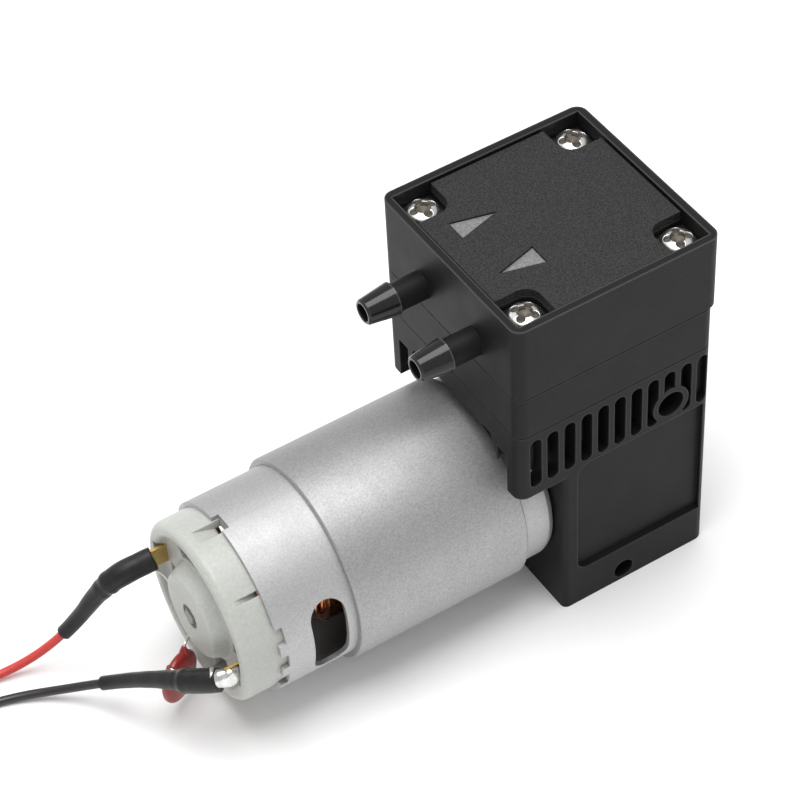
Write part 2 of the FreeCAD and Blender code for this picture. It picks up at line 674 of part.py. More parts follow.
def valve_plate():
    body = body_named("valve_plate")
    sk = sketch_on(body, "XY_Plane", "case_top")
    block(sk, "-%s" % HALF_LEN, CASE_BACK, "-%s" % HALF_WID, HALF_WID)
    pad(body, sk, "plate_thick")
    half_y = value_of(HALF_WID)
    ends = (-value_of(HALF_LEN), value_of(CASE_BACK))
    round_edges(body, "corner_rad", lambda e: upright(e, ends, (-half_y, half_y)))
    round_edges(body, "seam_edge", lambda e: level(e, "case_top"))
    # the pumping chamber, narrower at its roof
    turned(body, [
        ("0", "case_top"), ("pump_rad", "case_top"),
        ("pump_roof_rad", "case_top + pump_high"), ("0", "case_top + pump_high"),
    ], groove=True)
    # the inlet valve's wide pocket opens down, the outlet valve's opens up, and the knob
    # of each sits in a narrower one on the other side
    knob_pocket = "valve_ring_rad + flow_hole_rad + 0.15"
    sk = sketch_on(body, "XY_Plane", "case_top + pump_high")
    ring(sk, "0", "valve_y", "valve_pocket_rad")
    ring(sk, "0", "-valve_y", knob_pocket)
    pocket(body, sk, "valve_pocket_deep", back=True)
    sk = sketch_on(body, "XY_Plane", SEAM)
    ring(sk, "0", "-valve_y", "valve_pocket_rad")
    ring(sk, "0", "valve_y", knob_pocket)
    pocket(body, sk, "valve_pocket_deep")
    sk = sketch_on(body, "XY_Plane", SEAM)
    for side in ("-", ""):
        ring(sk, "0", side + "valve_y", "valve_stem_rad + fit_gap")
        for k in range(6):
            turn = math.radians(60 * k)
            x = "valve_ring_rad * %.6f" % math.cos(turn)
            y = "%svalve_y + valve_ring_rad * %.6f" % (side, math.sin(turn))
            ring(sk, x, y, "flow_hole_rad")
    pocket(body, sk, "plate_thick")
    sk = sketch_on(body, "XY_Plane", SEAM)
    for x, y in cover_screw_places():
        ring(sk, x, y, "screw_rad + screw_clear")
    pocket(body, sk, "plate_thick")


def umbrella_valve(name, way, seat, at_y):
    """A rubber valve: a disc on its seat, a stem through the plate and a knob behind it.

    way is 1 for a disc above its seat and -1 for one below it.
    """
    body = body_named(name)
    web = "(plate_thick - pump_high - 2 * valve_pocket_deep)"
    sign = "%d * " % way
    corners = [
        ("0", "%s%s" % (sign, "valve_thick")),
        ("valve_rad * 0.5", "%s%s" % (sign, "valve_thick")),
        ("valve_rad", "%svalve_thick * 0.4" % sign),
        ("valve_rad", "%sfit_gap" % sign),
        ("valve_stem_rad", "%sfit_gap" % sign),
        ("valve_stem_rad", "%s(-%s - fit_gap)" % (sign, web)),
        ("valve_knob_rad", "%s(-%s - fit_gap)" % (sign, web)),
        ("valve_stem_rad * 0.8", "%s(-%s - valve_knob_high)" % (sign, web)),
        ("0", "%s(-%s - valve_knob_high)" % (sign, web)),
    ]
    turned(body, corners)
    put(body, "0", at_y, seat)


def valves():
    umbrella_valve("inlet_valve", -1, "case_top + pump_high + valve_pocket_deep", "valve_y")
    umbrella_valve("outlet_valve", 1, "%s - valve_pocket_deep" % SEAM, "-valve_y")


RIM_MIDDLE = "(case_top - seat_deep / 2)"
PIN_Z = "(axis_z - throw)"
ROD_TOP = "(case_top - seat_deep / 2 - throw - membrane / 2)"


def diaphragm():
    """The diaphragm as it stands at the bottom of the stroke, with its rim clamped."""
    body = body_named("diaphragm")
    half = "membrane / 2"
    low_mid = "(%s - throw)" % RIM_MIDDLE
    hole = "(clamp_screw_rad + fit_gap)"
    turned(body, [
        (hole, "%s - %s" % (low_mid, half)), ("rod_head_rad", "%s - %s" % (low_mid, half)),
        ("rod_head_rad + 2.2", "%s - %s" % (RIM_MIDDLE, "(throw * 0.55 + membrane / 2)")),
        ("pump_rad - 0.9", "%s - %s" % (RIM_MIDDLE, half)),
        ("pump_rad", "%s - %s" % (RIM_MIDDLE, half)), ("pump_rad", "case_top - seat_deep"),
        ("seat_rad - fit_gap", "case_top - seat_deep"), ("seat_rad - fit_gap", "case_top"),
        ("pump_rad + fit_gap", "case_top"), ("pump_rad - 0.3", "%s + %s" % (RIM_MIDDLE, half)),
        ("pump_rad - 1.5", "%s + %s" % (RIM_MIDDLE, half)),
        ("rod_head_rad + 1.6", "%s - %s" % (RIM_MIDDLE, "(throw * 0.55 - membrane / 2)")),
        ("clamp_rad + 0.4", "%s + %s" % (low_mid, half)), (hole, "%s + %s" % (low_mid, half)),
    ])


def clamp():
    """The disc over the diaphragm's middle and the countersunk screw through both."""
    disc_low = "%s + membrane" % ROD_TOP
    disc_top = "%s + membrane + clamp_thick" % ROD_TOP
    slope = "(clamp_head_rad - clamp_screw_rad)"
    body = body_named("clamp_disc")
    bore, cone = "(clamp_screw_rad + fit_gap)", "(clamp_head_rad + fit_gap)"
    turned(body, [
        (bore, disc_low), ("clamp_rad", disc_low), ("clamp_rad", "%s - 0.5" % disc_top),
        ("clamp_rad - 0.5", disc_top), (cone, disc_top),
        (bore, "%s - %s" % (disc_top, slope)),
    ])
    body = body_named("clamp_screw")
    turned(body, [
        ("0", "%s - clamp_screw_len" % disc_low),
        ("clamp_screw_rad", "%s - clamp_screw_len" % disc_low),
        ("clamp_screw_rad", "%s - %s" % (disc_top, slope)),
        ("clamp_head_rad", disc_top), ("0", disc_top),
    ])
    cross_recess(body, disc_top, "1.3", "0.9", "0.35")


def connecting_rod():
    body = body_named("connecting_rod")
    sk = sketch_on(body, "YZ_Plane")
    ring(sk, "0", PIN_Z, "rod_eye_rad")
    pad(body, sk, "bearing_wide", middle=True)
    sk = sketch_on(body, "YZ_Plane")
    half = "(rod_shank_wide / 2)"
    outline(sk, [
        ("-%s - 1.5" % half, "%s + rod_eye_rad * 0.85" % PIN_Z),
        ("%s + 1.5" % half, "%s + rod_eye_rad * 0.85" % PIN_Z),
        (half, "%s + rod_eye_rad + 3" % PIN_Z),
        (half, "%s - rod_head_thick - 2" % ROD_TOP),
        ("%s + 1.5" % half, "%s - rod_head_thick / 2" % ROD_TOP),
        ("-%s - 1.5" % half, "%s - rod_head_thick / 2" % ROD_TOP),
        ("-" + half, "%s - rod_head_thick - 2" % ROD_TOP),
        ("-" + half, "%s + rod_eye_rad + 3" % PIN_Z),
    ])
    pad(body, sk, "bearing_wide", middle=True)
    turned(body, [
        ("0", "%s - rod_head_thick" % ROD_TOP),
        ("rod_head_rad - 1.2", "%s - rod_head_thick" % ROD_TOP),
        ("rod_head_rad", "%s - rod_head_thick / 2" % ROD_TOP),
        ("rod_head_rad", ROD_TOP), ("0", ROD_TOP),
    ])
    sk = sketch_on(body, "YZ_Plane")
    ring(sk, "0", PIN_Z, "bearing_rad + press_gap")
    pocket(body, sk, "bearing_wide + 1", middle=True)
    sk = sketch_on(body, "XY_Plane", ROD_TOP)
    ring(sk, "0", "0", "clamp_screw_rad + press_gap")
    pocket(body, sk, "clamp_screw_len")


def bearing():
    """A ball bearing: two rings with grooves, and the balls between them."""
    groove_mid = "((journal_rad + bearing_rad) / 2)"
    inner_top, outer_low = "(journal_rad + ring_wall)", "(bearing_rad - ring_wall)"
    half = "(bearing_wide / 2)"
    dip = "(ball_rad * 0.75)"
    for name, flat, curved in (
        ("bearing_inner_ring", "journal_rad + press_gap", inner_top),
        ("bearing_outer_ring", "bearing_rad", outer_low),
    ):
        body = body_named(name)
        way = "+" if curved == outer_low else "-"
        turned(body, [
            ("-" + half, flat), (half, flat), (half, curved), (dip, curved),
            ("ball_rad * 0.4", "%s %s ball_rad" % (groove_mid, way)),
            ("-ball_rad * 0.4", "%s %s ball_rad" % (groove_mid, way)),
            ("-" + dip, curved), ("-" + half, curved),
        ], "XZ_Plane", "H_Axis")
        put(body, "0", "0", PIN_Z)
    members = []
    for k in range(9):
        turn = math.radians(40 * k)
        ball = doc.addObject("Part::Sphere", "ball")
        ball.setExpression("Radius", sized("ball_rad - fit_gap"))
        put(ball, "0", "%s * %.6f" % (groove_mid, math.sin(turn)),
            "%s + %s * %.6f" % (PIN_Z, groove_mid, math.cos(turn)))
        members.append(ball)
    group("bearing_balls", members)


def eccentric():
    """The hub on the shaft, the counterweight above it and the journal below its centre."""
    body = body_named("eccentric")
    weight_at = "-(bearing_wide / 2 + rod_side_gap)"
    sk = sketch_on(body, "YZ_Plane", weight_at)
    ring(sk, "0", "axis_z", "weight_rad")
    pad(body, sk, "weight_thick", back=True)
    sk = sketch_on(body, "YZ_Plane", weight_at)
    reach = "(weight_rad + 1)"
    block(sk, "-" + reach, reach, "axis_z - %s" % reach, "axis_z + hub_rad * 0.3")
    pocket(body, sk, "weight_thick + 1")
    sk = sketch_on(body, "YZ_Plane", weight_at)
    ring(sk, "0", "axis_z", "hub_rad")
    pad(body, sk, "hub_long", back=True)
    sk = sketch_on(body, "YZ_Plane", weight_at)
    ring(sk, "0", PIN_Z, "journal_rad + ring_wall * 0.7")
    pad(body, sk, "rod_side_gap")
    sk = sketch_on(body, "YZ_Plane", weight_at)
    ring(sk, "0", PIN_Z, "journal_rad")
    pad(body, sk, "rod_side_gap + bearing_wide + fit_gap")
    sk = sketch_on(body, "YZ_Plane", "%s - hub_long" % weight_at)
    ring(sk, "0", "axis_z", "shaft_rad + press_gap")
    pocket(body, sk, "hub_long + bearing_wide + 2", back=True)
    # the grub screw's hole, from the light side of the hub to the shaft
    sk = sketch_on(body, "XY_Plane", "axis_z - hub_rad - 0.1")
    ring(sk, "%s - hub_long + grub_rad + 0.4" % weight_at, "0", "grub_rad + press_gap")
    pocket(body, sk, "hub_rad - shaft_rad + 0.5", back=True)


def grub_screw():
    """The screw that holds the eccentric on the flat of the shaft, from below at rest."""
    body = body_named("grub_screw")
    tip, face = "(shaft_rad - shaft_flat + press_gap)", "-hub_rad + 0.3"
    turned(body, [
        ("0", "-" + tip), ("grub_rad * 0.6", "-" + tip),
        ("grub_rad", "-shaft_rad - 0.4"), ("grub_rad", face), ("0", face),
    ])
    sk = sketch_on(body, "XY_Plane", face)
    outline(sk, [("grub_rad * 0.5 * %.6f" % math.cos(math.radians(60 * k)),
                  "grub_rad * 0.5 * %.6f" % math.sin(math.radians(60 * k))) for k in range(6)])
    pocket(body, sk, "1.5", back=True)
    put(body, "-(bearing_wide / 2 + rod_side_gap) - hub_long + grub_rad + 0.4", "0", "axis_z")


def crankcase():
    body = body_named("crankcase")
    front, back = "-case_front", CASE_BACK
    low_y, high_y = "-%s" % HALF_WID, HALF_WID
    sk = sketch_on(body, "XY_Plane")
    block(sk, front, back, low_y, high_y)
    pad(body, sk, "band_bottom")
    half_y = value_of(HALF_WID)
    round_edges(body, "foot_round", lambda e: upright(e, (value_of(front),), (-half_y, half_y)))
    sk = sketch_on(body, "XY_Plane", "band_bottom")
    block(sk, "-%s" % HALF_LEN, back, low_y, high_y)
    pad(body, sk, "case_top - band_bottom")
    ends = (-value_of(HALF_LEN), value_of(back))
    round_edges(body, "corner_rad", lambda e: upright(e, ends, (-half_y, half_y)))
    # the crank chamber, open at the back, and the space above the motor, open below
    inner = "(%s - case_wall)" % HALF_WID
    deck = "case_top - deck_thick"
    sk = sketch_on(body, "YZ_Plane", back)
    block(sk, "-" + inner, inner, "floor_thick", deck)
    pocket(body, sk, "%s + case_front - front_wall" % back)
    sk = sketch_on(body, "XY_Plane", "band_bottom")
    block(sk, "-%s + front_skin" % HALF_LEN, front, "-" + inner, inner)
    pocket(body, sk, "%s - band_bottom" % deck, back=True)
    # the front opening over the motor, with a tab and a notch on each side
    sk = sketch_on(body, "YZ_Plane", "-%s" % HALF_LEN)
    side = [
        ("arch_half", "arch_top"), ("tab_half", "tab_low"), ("tab_half", "notch_top"),
        ("notch_half", "notch_top"), ("notch_half", "band_bottom - 1"),
    ]
    outline(sk, [("-" + y, z) for y, z in reversed(side)] + side)
    pocket(body, sk, "front_skin + fit_gap", back=True)
    # the slots and the recess in each side wall
    pitch = "(head_len - slot_in - slot_out) / 10"
    for way in (-1, 1):
        face = "%d * %s" % (-way, HALF_WID)
        sk = sketch_on(body, "XZ_Plane", face)
        for k in range(11):
            place = "-%s + slot_in + %d * %s" % (HALF_LEN, k, pitch)
            slot(sk, place, "slot_low", "slot_top", "slot_half")
        pocket(body, sk, "case_wall", back=way > 0)
        sk = sketch_on(body, "XZ_Plane", face)
        block(sk, "%s + panel_front" % front, "%s - panel_back" % back, "panel_z_low", "panel_z_high")
        pocket(body, sk, "panel_deep", back=way > 0)
    bottom, top = value_of("panel_z_low"), value_of("panel_z_high")

    def crosswise(edge):
        """An edge along Y at a corner of the side recesses."""
        ends = [v.Point for v in edge.Vertexes]
        if len(ends) != 2 or abs(edge.Length - value_of("panel_deep")) > 1e-3:
            return False
        return abs(ends[0].z - ends[1].z) < 1e-6 and min(abs(ends[0].z - bottom), abs(ends[0].z - top)) < 1e-3
    round_edges(body, "panel_round", crosswise)
    # the collar of the diaphragm's seat and the opening through it
    sk = sketch_on(body, "XY_Plane", "case_top")
    ring(sk, "0", "0", "collar_rad")
    pad(body, sk, "collar_deep", back=True)
    sk = sketch_on(body, "XY_Plane", "case_top")
    ring(sk, "0", "0", "seat_rad")
    pocket(body, sk, "seat_deep")
    sk = sketch_on(body, "XY_Plane", "case_top")
    ring(sk, "0", "0", "pump_rad")
    pocket(body, sk, "collar_deep")
    # posts for the cover screws
    sk = sketch_on(body, "XY_Plane", "post_low")
    for x, y in cover_screw_places():
        ring(sk, x, y, "post_rad")
    pad(body, sk, "case_top - post_low")
    sk = sketch_on(body, "XY_Plane", "case_top")
    for x, y in cover_screw_places():
        ring(sk, x, y, "pilot_rad")
    pocket(body, sk, "pilot_deep")
    # the tube of the through bolt, and the foot hole
    bolt_x = "%s - bolt_in" % HALF_LEN
    sk = sketch_on(body, "XZ_Plane")
    ring(sk, bolt_x, "bolt_z", "bolt_boss_rad")
    pad(body, sk, "head_wid", middle=True)
    sk = sketch_on(body, "XZ_Plane")
    ring(sk, bolt_x, "bolt_z", "bolt_rad")
    ring(sk, "foot_x", "foot_z", "foot_rad")
    pocket(body, sk, "head_wid + 2", middle=True)
    # the motor's seat: a bore for its nose and two screw holes
    sk = sketch_on(body, "YZ_Plane", front)
    ring(sk, "0", "axis_z", "nose_rad + nose_gap")
    for way in ("-", ""):
        ring(sk, way + "can_screw_y", "axis_z", "screw_rad + screw_clear")
    pocket(body, sk, "front_wall + fit_gap", back=True)
    # the rear cover's seat
    sk = sketch_on(body, "YZ_Plane", back)
    seat = "(%s - case_wall + cap_lip)" % HALF_WID
    block(sk, "-" + seat, seat, "floor_thick - cap_lip", "case_top - deck_thick")
    pocket(body, sk, "cap_thick")


def rear_cover():
    """Closes the crank chamber: a plate in its seat, with a skirt that grips the walls."""
    body = body_named("rear_cover")
    seat = "(%s - case_wall + cap_lip - fit_gap)" % HALF_WID
    inner = "(%s - case_wall - fit_gap)" % HALF_WID
    low, high = "floor_thick + fit_gap", "post_low - 1"
    sk = sketch_on(body, "YZ_Plane", CASE_BACK)
    block(sk, "-" + seat, seat, "floor_thick - cap_lip + fit_gap", "case_top - deck_thick - fit_gap")
    pad(body, sk, "cap_thick", back=True)
    sk = sketch_on(body, "YZ_Plane", "%s - cap_thick" % CASE_BACK)
    block(sk, "-" + inner, inner, low, high)
    block(sk, "-%s + cap_lip" % inner, "%s - cap_lip" % inner, "%s + cap_lip" % low, "%s - cap_lip" % high)
    pad(body, sk, "cap_deep", back=True)


def motor_screws():
    members = []
    for way in ("-", ""):
        body = loose_body("motor_screw")
        head, high = "screw_rad * 1.85", "(hub_long - weight_thick + 0.55)"
        turned(body, [
            ("-front_wall - 2.5", "0"), ("-front_wall - 2.5", "screw_rad"), ("0", "screw_rad"),
            ("0", head), ("%s * 0.6" % high, head), (high, "%s * 0.7" % head), (high, "0"),
        ], "XZ_Plane", "H_Axis")
        sk = sketch_on(body, "YZ_Plane", high)
        block(sk, "-1.6", "1.6", "-0.4", "0.4")
        pocket(body, sk, "0.9")
        put(body, "-case_front + front_wall", way + "can_screw_y", "axis_z")
        members.append(body)
    group("motor_screws", members)


CAN_REAR = "(case_front + can_long)"


def motor_can():
    """A drawn steel can: round front edge, stepped nose, vent windows and a notched rim."""
    body = body_named("motor_can")
    front = "-case_front"
    inner = "(can_rad - can_wall)"
    turned(body, [
        ("-" + CAN_REAR, inner), ("-" + CAN_REAR, "can_rad"),
        ("%s - can_round" % front, "can_rad"), ("%s - can_round * 0.3" % front, "can_rad - can_round * 0.3"),
        (front, "can_rad - can_round"), (front, "nose_rad"), ("%s + nose_long" % front, "nose_rad"),
        ("%s + nose_long" % front, "shaft_rad + 0.6"),
        ("%s + nose_long - can_wall" % front, "shaft_rad + 0.6"),
        ("%s + nose_long - can_wall" % front, "nose_rad - can_wall"),
        ("%s - can_wall" % front, "nose_rad - can_wall"), ("%s - can_wall" % front, inner),
    ], "XZ_Plane", "H_Axis")
    sk = sketch_on(body, "XZ_Plane")
    slot(sk, "-vent_x", "-vent_high / 2", "vent_high / 2", "vent_rad")
    pocket(body, sk, "can_rad * 2 + 2", middle=True)
    # three notches on each side of the rim and one on top
    sk = sketch_on(body, "XZ_Plane")
    for middle, half in (("5.6", "1.7"), ("0", "1.5"), ("-5.6", "1.7")):
        block(sk, "-%s - 1" % CAN_REAR, "-%s + notch_deep" % CAN_REAR,
              "%s - %s" % (middle, half), "%s + %s" % (middle, half))
    pocket(body, sk, "can_rad * 2 + 2", middle=True)
    sk = sketch_on(body, "XY_Plane")
    block(sk, "-%s - 1" % CAN_REAR, "-%s + notch_deep" % CAN_REAR, "-0.7", "3")
    pocket(body, sk, "can_rad + 1", back=True)
    sk = sketch_on(body, "YZ_Plane", front)
    for way in ("-", ""):
        ring(sk, way + "can_screw_y", "0", "screw_rad + press_gap")
    pocket(body, sk, "can_wall + 0.1")
    put(body, "0", "0", "axis_z")


def flux_ring():
    """A rolled steel strip round the can, with its seam below."""
    body = body_named("flux_ring")
    inner, outer = "(can_rad + press_gap)", "(can_rad + ring_thick)"
    turned(body, [
        ("-ring_front - ring_long", inner), ("-ring_front - ring_long", "%s - ring_edge" % outer),
        ("-ring_front - ring_long + ring_edge", outer), ("-ring_front - ring_edge", outer),
        ("-ring_front", "%s - ring_edge" % outer), ("-ring_front", inner),
    ], "XZ_Plane", "H_Axis")
    sk = sketch_on(body, "XY_Plane")
    half = "(ring_seam / 2)"
    block(sk, "-ring_front - ring_long - 1", "-ring_front + 1", "-" + half, half)
    pocket(body, sk, "%s + 1" % outer)
    put(body, "0", "0", "axis_z")


def magnets():
    members = []
    for way in ("-", ""):
        body = loose_body("magnet")
        near, outer = "(core_rad + air_gap)", "(can_rad - can_wall - press_gap)"
        turned(body, [
            ("-magnet_front - magnet_long", way + near), ("-magnet_front", way + near),
            ("-magnet_front", way + outer), ("-magnet_front - magnet_long", way + outer),
        ], "XY_Plane", "H_Axis", angle="130")
        put(body, "0", "0", "axis_z")
        members.append(body)
    group("magnets", members)


def armature():
    """The slotted core, the copper in its slots and the heads of the windings."""
    front, rear = "-core_front", "-core_front - core_long"
    body = body_named("armature_core")
    sk = sketch_on(body, "YZ_Plane", front)
    ring(sk, "0", "0", "core_rad")
    ring(sk, "0", "0", "shaft_rad + press_gap")
    pad(body, sk, "core_long", back=True)
    sk = sketch_on(body, "YZ_Plane", front)
    outline(sk, [
        ("-0.9", "core_rad + 1"), ("-0.9", "core_rad - 1.2"), ("-4.4", "core_rad - 2.2"),
        ("-1.5", "shaft_rad + 3.2"), ("1.5", "shaft_rad + 3.2"), ("4.4", "core_rad - 2.2"),
        ("0.9", "core_rad - 1.2"), ("0.9", "core_rad + 1"),
    ])
    step = pocket(body, sk, "core_long")
    repeat(body, step, 5)
    put(body, "0", "0", "axis_z")

    body = body_named("armature_windings")
    head_in, head_out = "(shaft_rad + 1.2)", "(core_rad - 1.1)"
    turned(body, [
        ("%s - 0.2" % rear, head_in), ("%s - 0.2" % rear, head_out), ("%s - 6.5" % rear, head_out),
        ("%s - 9.0" % rear, "%s - 2.5" % head_out), ("%s - 9.0" % rear, head_in),
    ], "XZ_Plane", "H_Axis")
    sk = sketch_on(body, "YZ_Plane", "%s - 0.4" % rear)
    outline(sk, [
        ("-0.6", "core_rad - 1.4"), ("-3.9", "core_rad - 2.4"), ("-1.3", "shaft_rad + 3.5"),
        ("1.3", "shaft_rad + 3.5"), ("3.9", "core_rad - 2.4"), ("0.6", "core_rad - 1.4"),
    ])
    step = pad(body, sk, "core_long + 0.8")
    repeat(body, step, 5)
    turned(body, [
        ("%s + 0.2" % front, head_in), ("%s + 0.2" % front, head_out),
        ("%s + 3.4" % front, head_out), ("%s + 4.6" % front, "%s - 2" % head_out),
        ("%s + 4.6" % front, head_in),
    ], "XZ_Plane", "H_Axis")
    put(body, "0", "0", "axis_z")

    body = body_named("commutator")
    sk = sketch_on(body, "YZ_Plane", "-brush_ring_rear")
    ring(sk, "0", "0", "brush_ring_rad")
    ring(sk, "0", "0", "shaft_rad + press_gap")
    pad(body, sk, "brush_ring_long")
    sk = sketch_on(body, "YZ_Plane", "-brush_ring_rear")
    block(sk, "-0.25", "0.25", "brush_ring_rad - 1", "brush_ring_rad + 1")
    step = pocket(body, sk, "brush_ring_long - 1.5", back=True)
    repeat(body, step, 5)
    put(body, "0", "0", "axis_z")


def motor_shaft():
    """The shaft, with a flat under the grub screw."""
    body = body_named("motor_shaft")
    turned(body, [
        ("-shaft_rear", "0"), ("-shaft_rear", "shaft_rad - 0.3"), ("-shaft_rear + 0.3", "shaft_rad"),
        ("shaft_front - 0.3", "shaft_rad"), ("shaft_front", "shaft_rad - 0.3"), ("shaft_front", "0"),
    ], "XZ_Plane", "H_Axis")
    sk = sketch_on(body, "XY_Plane", "-shaft_rad + shaft_flat")
    block(sk, "shaft_front - flat_long", "shaft_front + 1", "-shaft_rad", "shaft_rad")
    pocket(body, sk, "shaft_flat + 1")
    put(body, "0", "0", "axis_z")


def bushes():
    body = body_named("front_bush")
    front = "(-case_front + nose_long - can_wall - fit_gap)"
    turned(body, [
        ("%s - front_bush_long" % front, "shaft_rad + fit_gap"),
        ("%s - front_bush_long" % front, "nose_rad - can_wall - press_gap"),
        (front, "nose_rad - can_wall - press_gap"), (front, "shaft_rad + fit_gap"),
    ], "XZ_Plane", "H_Axis")
    put(body, "0", "0", "axis_z")
    body = body_named("rear_bush")
    turned(body, [
        ("-hub_face + 0.1", "shaft_rad + fit_gap"), ("-hub_face + 0.1", "bush_rad"),
        ("-hub_face + 0.1 + bush_long", "bush_rad"), ("-hub_face + 0.1 + bush_long", "shaft_rad + fit_gap"),
    ], "XZ_Plane", "H_Axis")
    put(body, "0", "0", "axis_z")


def end_bell():
    """The nylon end of the motor: a rim, a recessed face and a raised hub."""
    body = body_named("end_bell")
    inside = "(-%s + bell_plug)" % CAN_REAR
    inner = "(bell_rad - 1.6)"
    turned(body, [
        (inside, inner), (inside, "bell_rad"), ("-bell_rear", "bell_rad"),
        ("-bell_rear", "bell_rim_in"), ("-bell_floor", "bell_rim_in - 0.9"),
        ("-bell_floor", "bell_hub_rad + hub_slope"), ("-hub_face", "bell_hub_rad"),
        ("-hub_face", "bush_rad + press_gap"), ("-hub_face + 0.1 + bush_long", "bush_rad + press_gap"),
        ("-hub_face + 0.1 + bush_long", "bush_rad + 1.6"), ("-bell_in", "bush_rad + 1.6"),
        ("-bell_in", inner),
    ], "XZ_Plane", "H_Axis")
    round_edges(body, "bell_round", lambda e: circle_at(e, "-bell_rear", "bell_rad"))
    for x, radius in (("-bell_rear", "bell_rim_in"), ("-bell_floor", "bell_rim_in - 0.9"),
                      ("-bell_floor", "bell_hub_rad + hub_slope"), ("-hub_face", "bell_hub_rad")):
        round_edges(body, "bell_soft", lambda e: circle_at(e, x, radius))
    # slots that ramp down along the rim towards the can, as angle and half width
    for degrees, half in ((86, "1.5"), (133, "0.45"), (43, "0.45"), (266, "1.5"), (313, "0.45"), (223, "0.45")):
        sk = sketch_on(body, "XZ_Plane")
        turn = FreeCAD.Rotation(FreeCAD.Vector(1, 0, 0), degrees - 90)
        sk.AttachmentOffset = FreeCAD.Placement(FreeCAD.Vector(), turn)
        deep = "-%s + notch_deep" % CAN_REAR
        outline(sk, [
            ("%s - ramp_long" % deep, "bell_rad"), (deep, "bell_rad - ramp_deep"),
            (deep, "bell_rad + 1"), ("%s - ramp_long" % deep, "bell_rad + 1"),
        ])
        pocket(body, sk, "2 * %s" % half, middle=True)
    # kidney openings through the recessed face, and shallow pockets beside the hub
    for start, end in ((53, 84), (233, 264), (175, 190), (355, 370)):
        sk = sketch_on(body, "YZ_Plane", "-bell_rear")
        narrow = end - start < 20
        kidney(sk, "kidney_in", "dent_in + 0.4" if narrow else "kidney_out", start, end)
        pocket(body, sk, "bell_rear - bell_in", back=True)
    for start, end in ((113, 126), (137, 150), (293, 306), (317, 330)):
        sk = sketch_on(body, "YZ_Plane", "-bell_rear")
        kidney(sk, "dent_in", "dent_out", start, end)
        pocket(body, sk, "bell_rear - bell_floor + dent_deep", back=True)
    # slits for the terminals, which also cut into the rim
    sk = sketch_on(body, "YZ_Plane", "-bell_rear")
    for way in (-1, 1):
        middle, high = "%d * tab_y" % way, "%d * tab_z" % way
        block(sk, "%s - tab_thick / 2 - press_gap" % middle, "%s + tab_thick / 2 + press_gap" % middle,
              "%s - tab_wide / 2 - press_gap" % high, "%s + tab_wide / 2 + press_gap" % high)
    pocket(body, sk, "bell_rear - bell_in", back=True)
    # the rim steps back outside each terminal
    sk = sketch_on(body, "YZ_Plane", "-bell_rear")
    for way in (-1, 1):
        near, far = "%d * (tab_y + tab_thick / 2)" % way, "%d * (tab_y + tab_thick / 2 + 1.3)" % way
        high = "%d * tab_z" % way
        block(sk, near, far, "%s - tab_wide / 2 - 0.3" % high, "%s + tab_wide / 2 + 0.3" % high)
    pocket(body, sk, "bell_rear - bell_floor + 0.8", back=True)
    put(body, "0", "0", "axis_z")


def brushes():
    """Two carbon brushes on springy brass arms, beside the commutator."""
    carbon, arms = [], []
    middle = "-brush_ring_rear + brush_ring_long * 0.35"
    for way in (-1, 1):
        brush = doc.addObject("Part::Box", "brush")
        for prop, size in (("Length", "brush_long"), ("Width", "brush_side"), ("Height", "brush_side")):
            brush.setExpression(prop, sized(size))
        low_y = "brush_ring_rad + fit_gap" if way > 0 else "-brush_ring_rad - fit_gap - brush_side"
        put(brush, "%s - brush_long / 2" % middle, low_y, "axis_z - brush_side / 2")
        carbon.append(brush)
        body = loose_body("brush_arm")
        sk = sketch_on(body, "YZ_Plane", "%s - brush_long / 2" % middle)
        near = "(brush_ring_rad + fit_gap + brush_side)"
        far, sign = "(%s + arm_thick)" % near, "%d * " % way
        outline(sk, [
            (sign + near, sign + "(-brush_side / 2)"), (sign + far, sign + "(-brush_side / 2)"),
            (sign + far, sign + "(brush_side / 2 - arm_thick)"),
            (sign + "(tab_y - tab_thick / 2)", sign + "(tab_z + arm_thick)"),
            (sign + "(tab_y - tab_thick / 2)", sign + "(tab_z + arm_thick * 2)"),
            (sign + near, sign + "(brush_side / 2)"),
        ])
        pad(body, sk, "brush_long")
        put(body, "0", "0", "axis_z")
        arms.append(body)
    group("brushes", carbon)
    group("brush_arms", arms)


def terminals():
    """Two flat brass tabs, through the end bell from the brush arms to the leads."""
    inner = "-brush_ring_rear + brush_ring_long * 0.35 + brush_long / 2"
    low, high = "-tab_wide / 2", "tab_wide / 2"
    tabs = []
    for way in (-1, 1):
        body = loose_body("terminal")
        sk = sketch_on(body, "XZ_Plane")
        if way < 0:
            block(sk, "-tab_rear", inner, low, high)
        else:
            end = "-tab_rear - tab_longer"
            step = "%s + tab_tip_long" % end
            outline(sk, [
                (end, "-tab_tip / 2"), (step, "-tab_tip / 2"), (step, low), (inner, low),
                (inner, high), (step, high), (step, "tab_tip / 2"), (end, "tab_tip / 2"),
            ])
        pad(body, sk, "tab_thick", middle=True)
        put(body, "0", "%d * tab_y" % way, "axis_z + %d * tab_z" % way)
        tabs.append(body)
    group("terminals", tabs)
    doc.recompute()
    solder_joint(tabs[0])
    heat_shrink_sleeves(tabs[1])


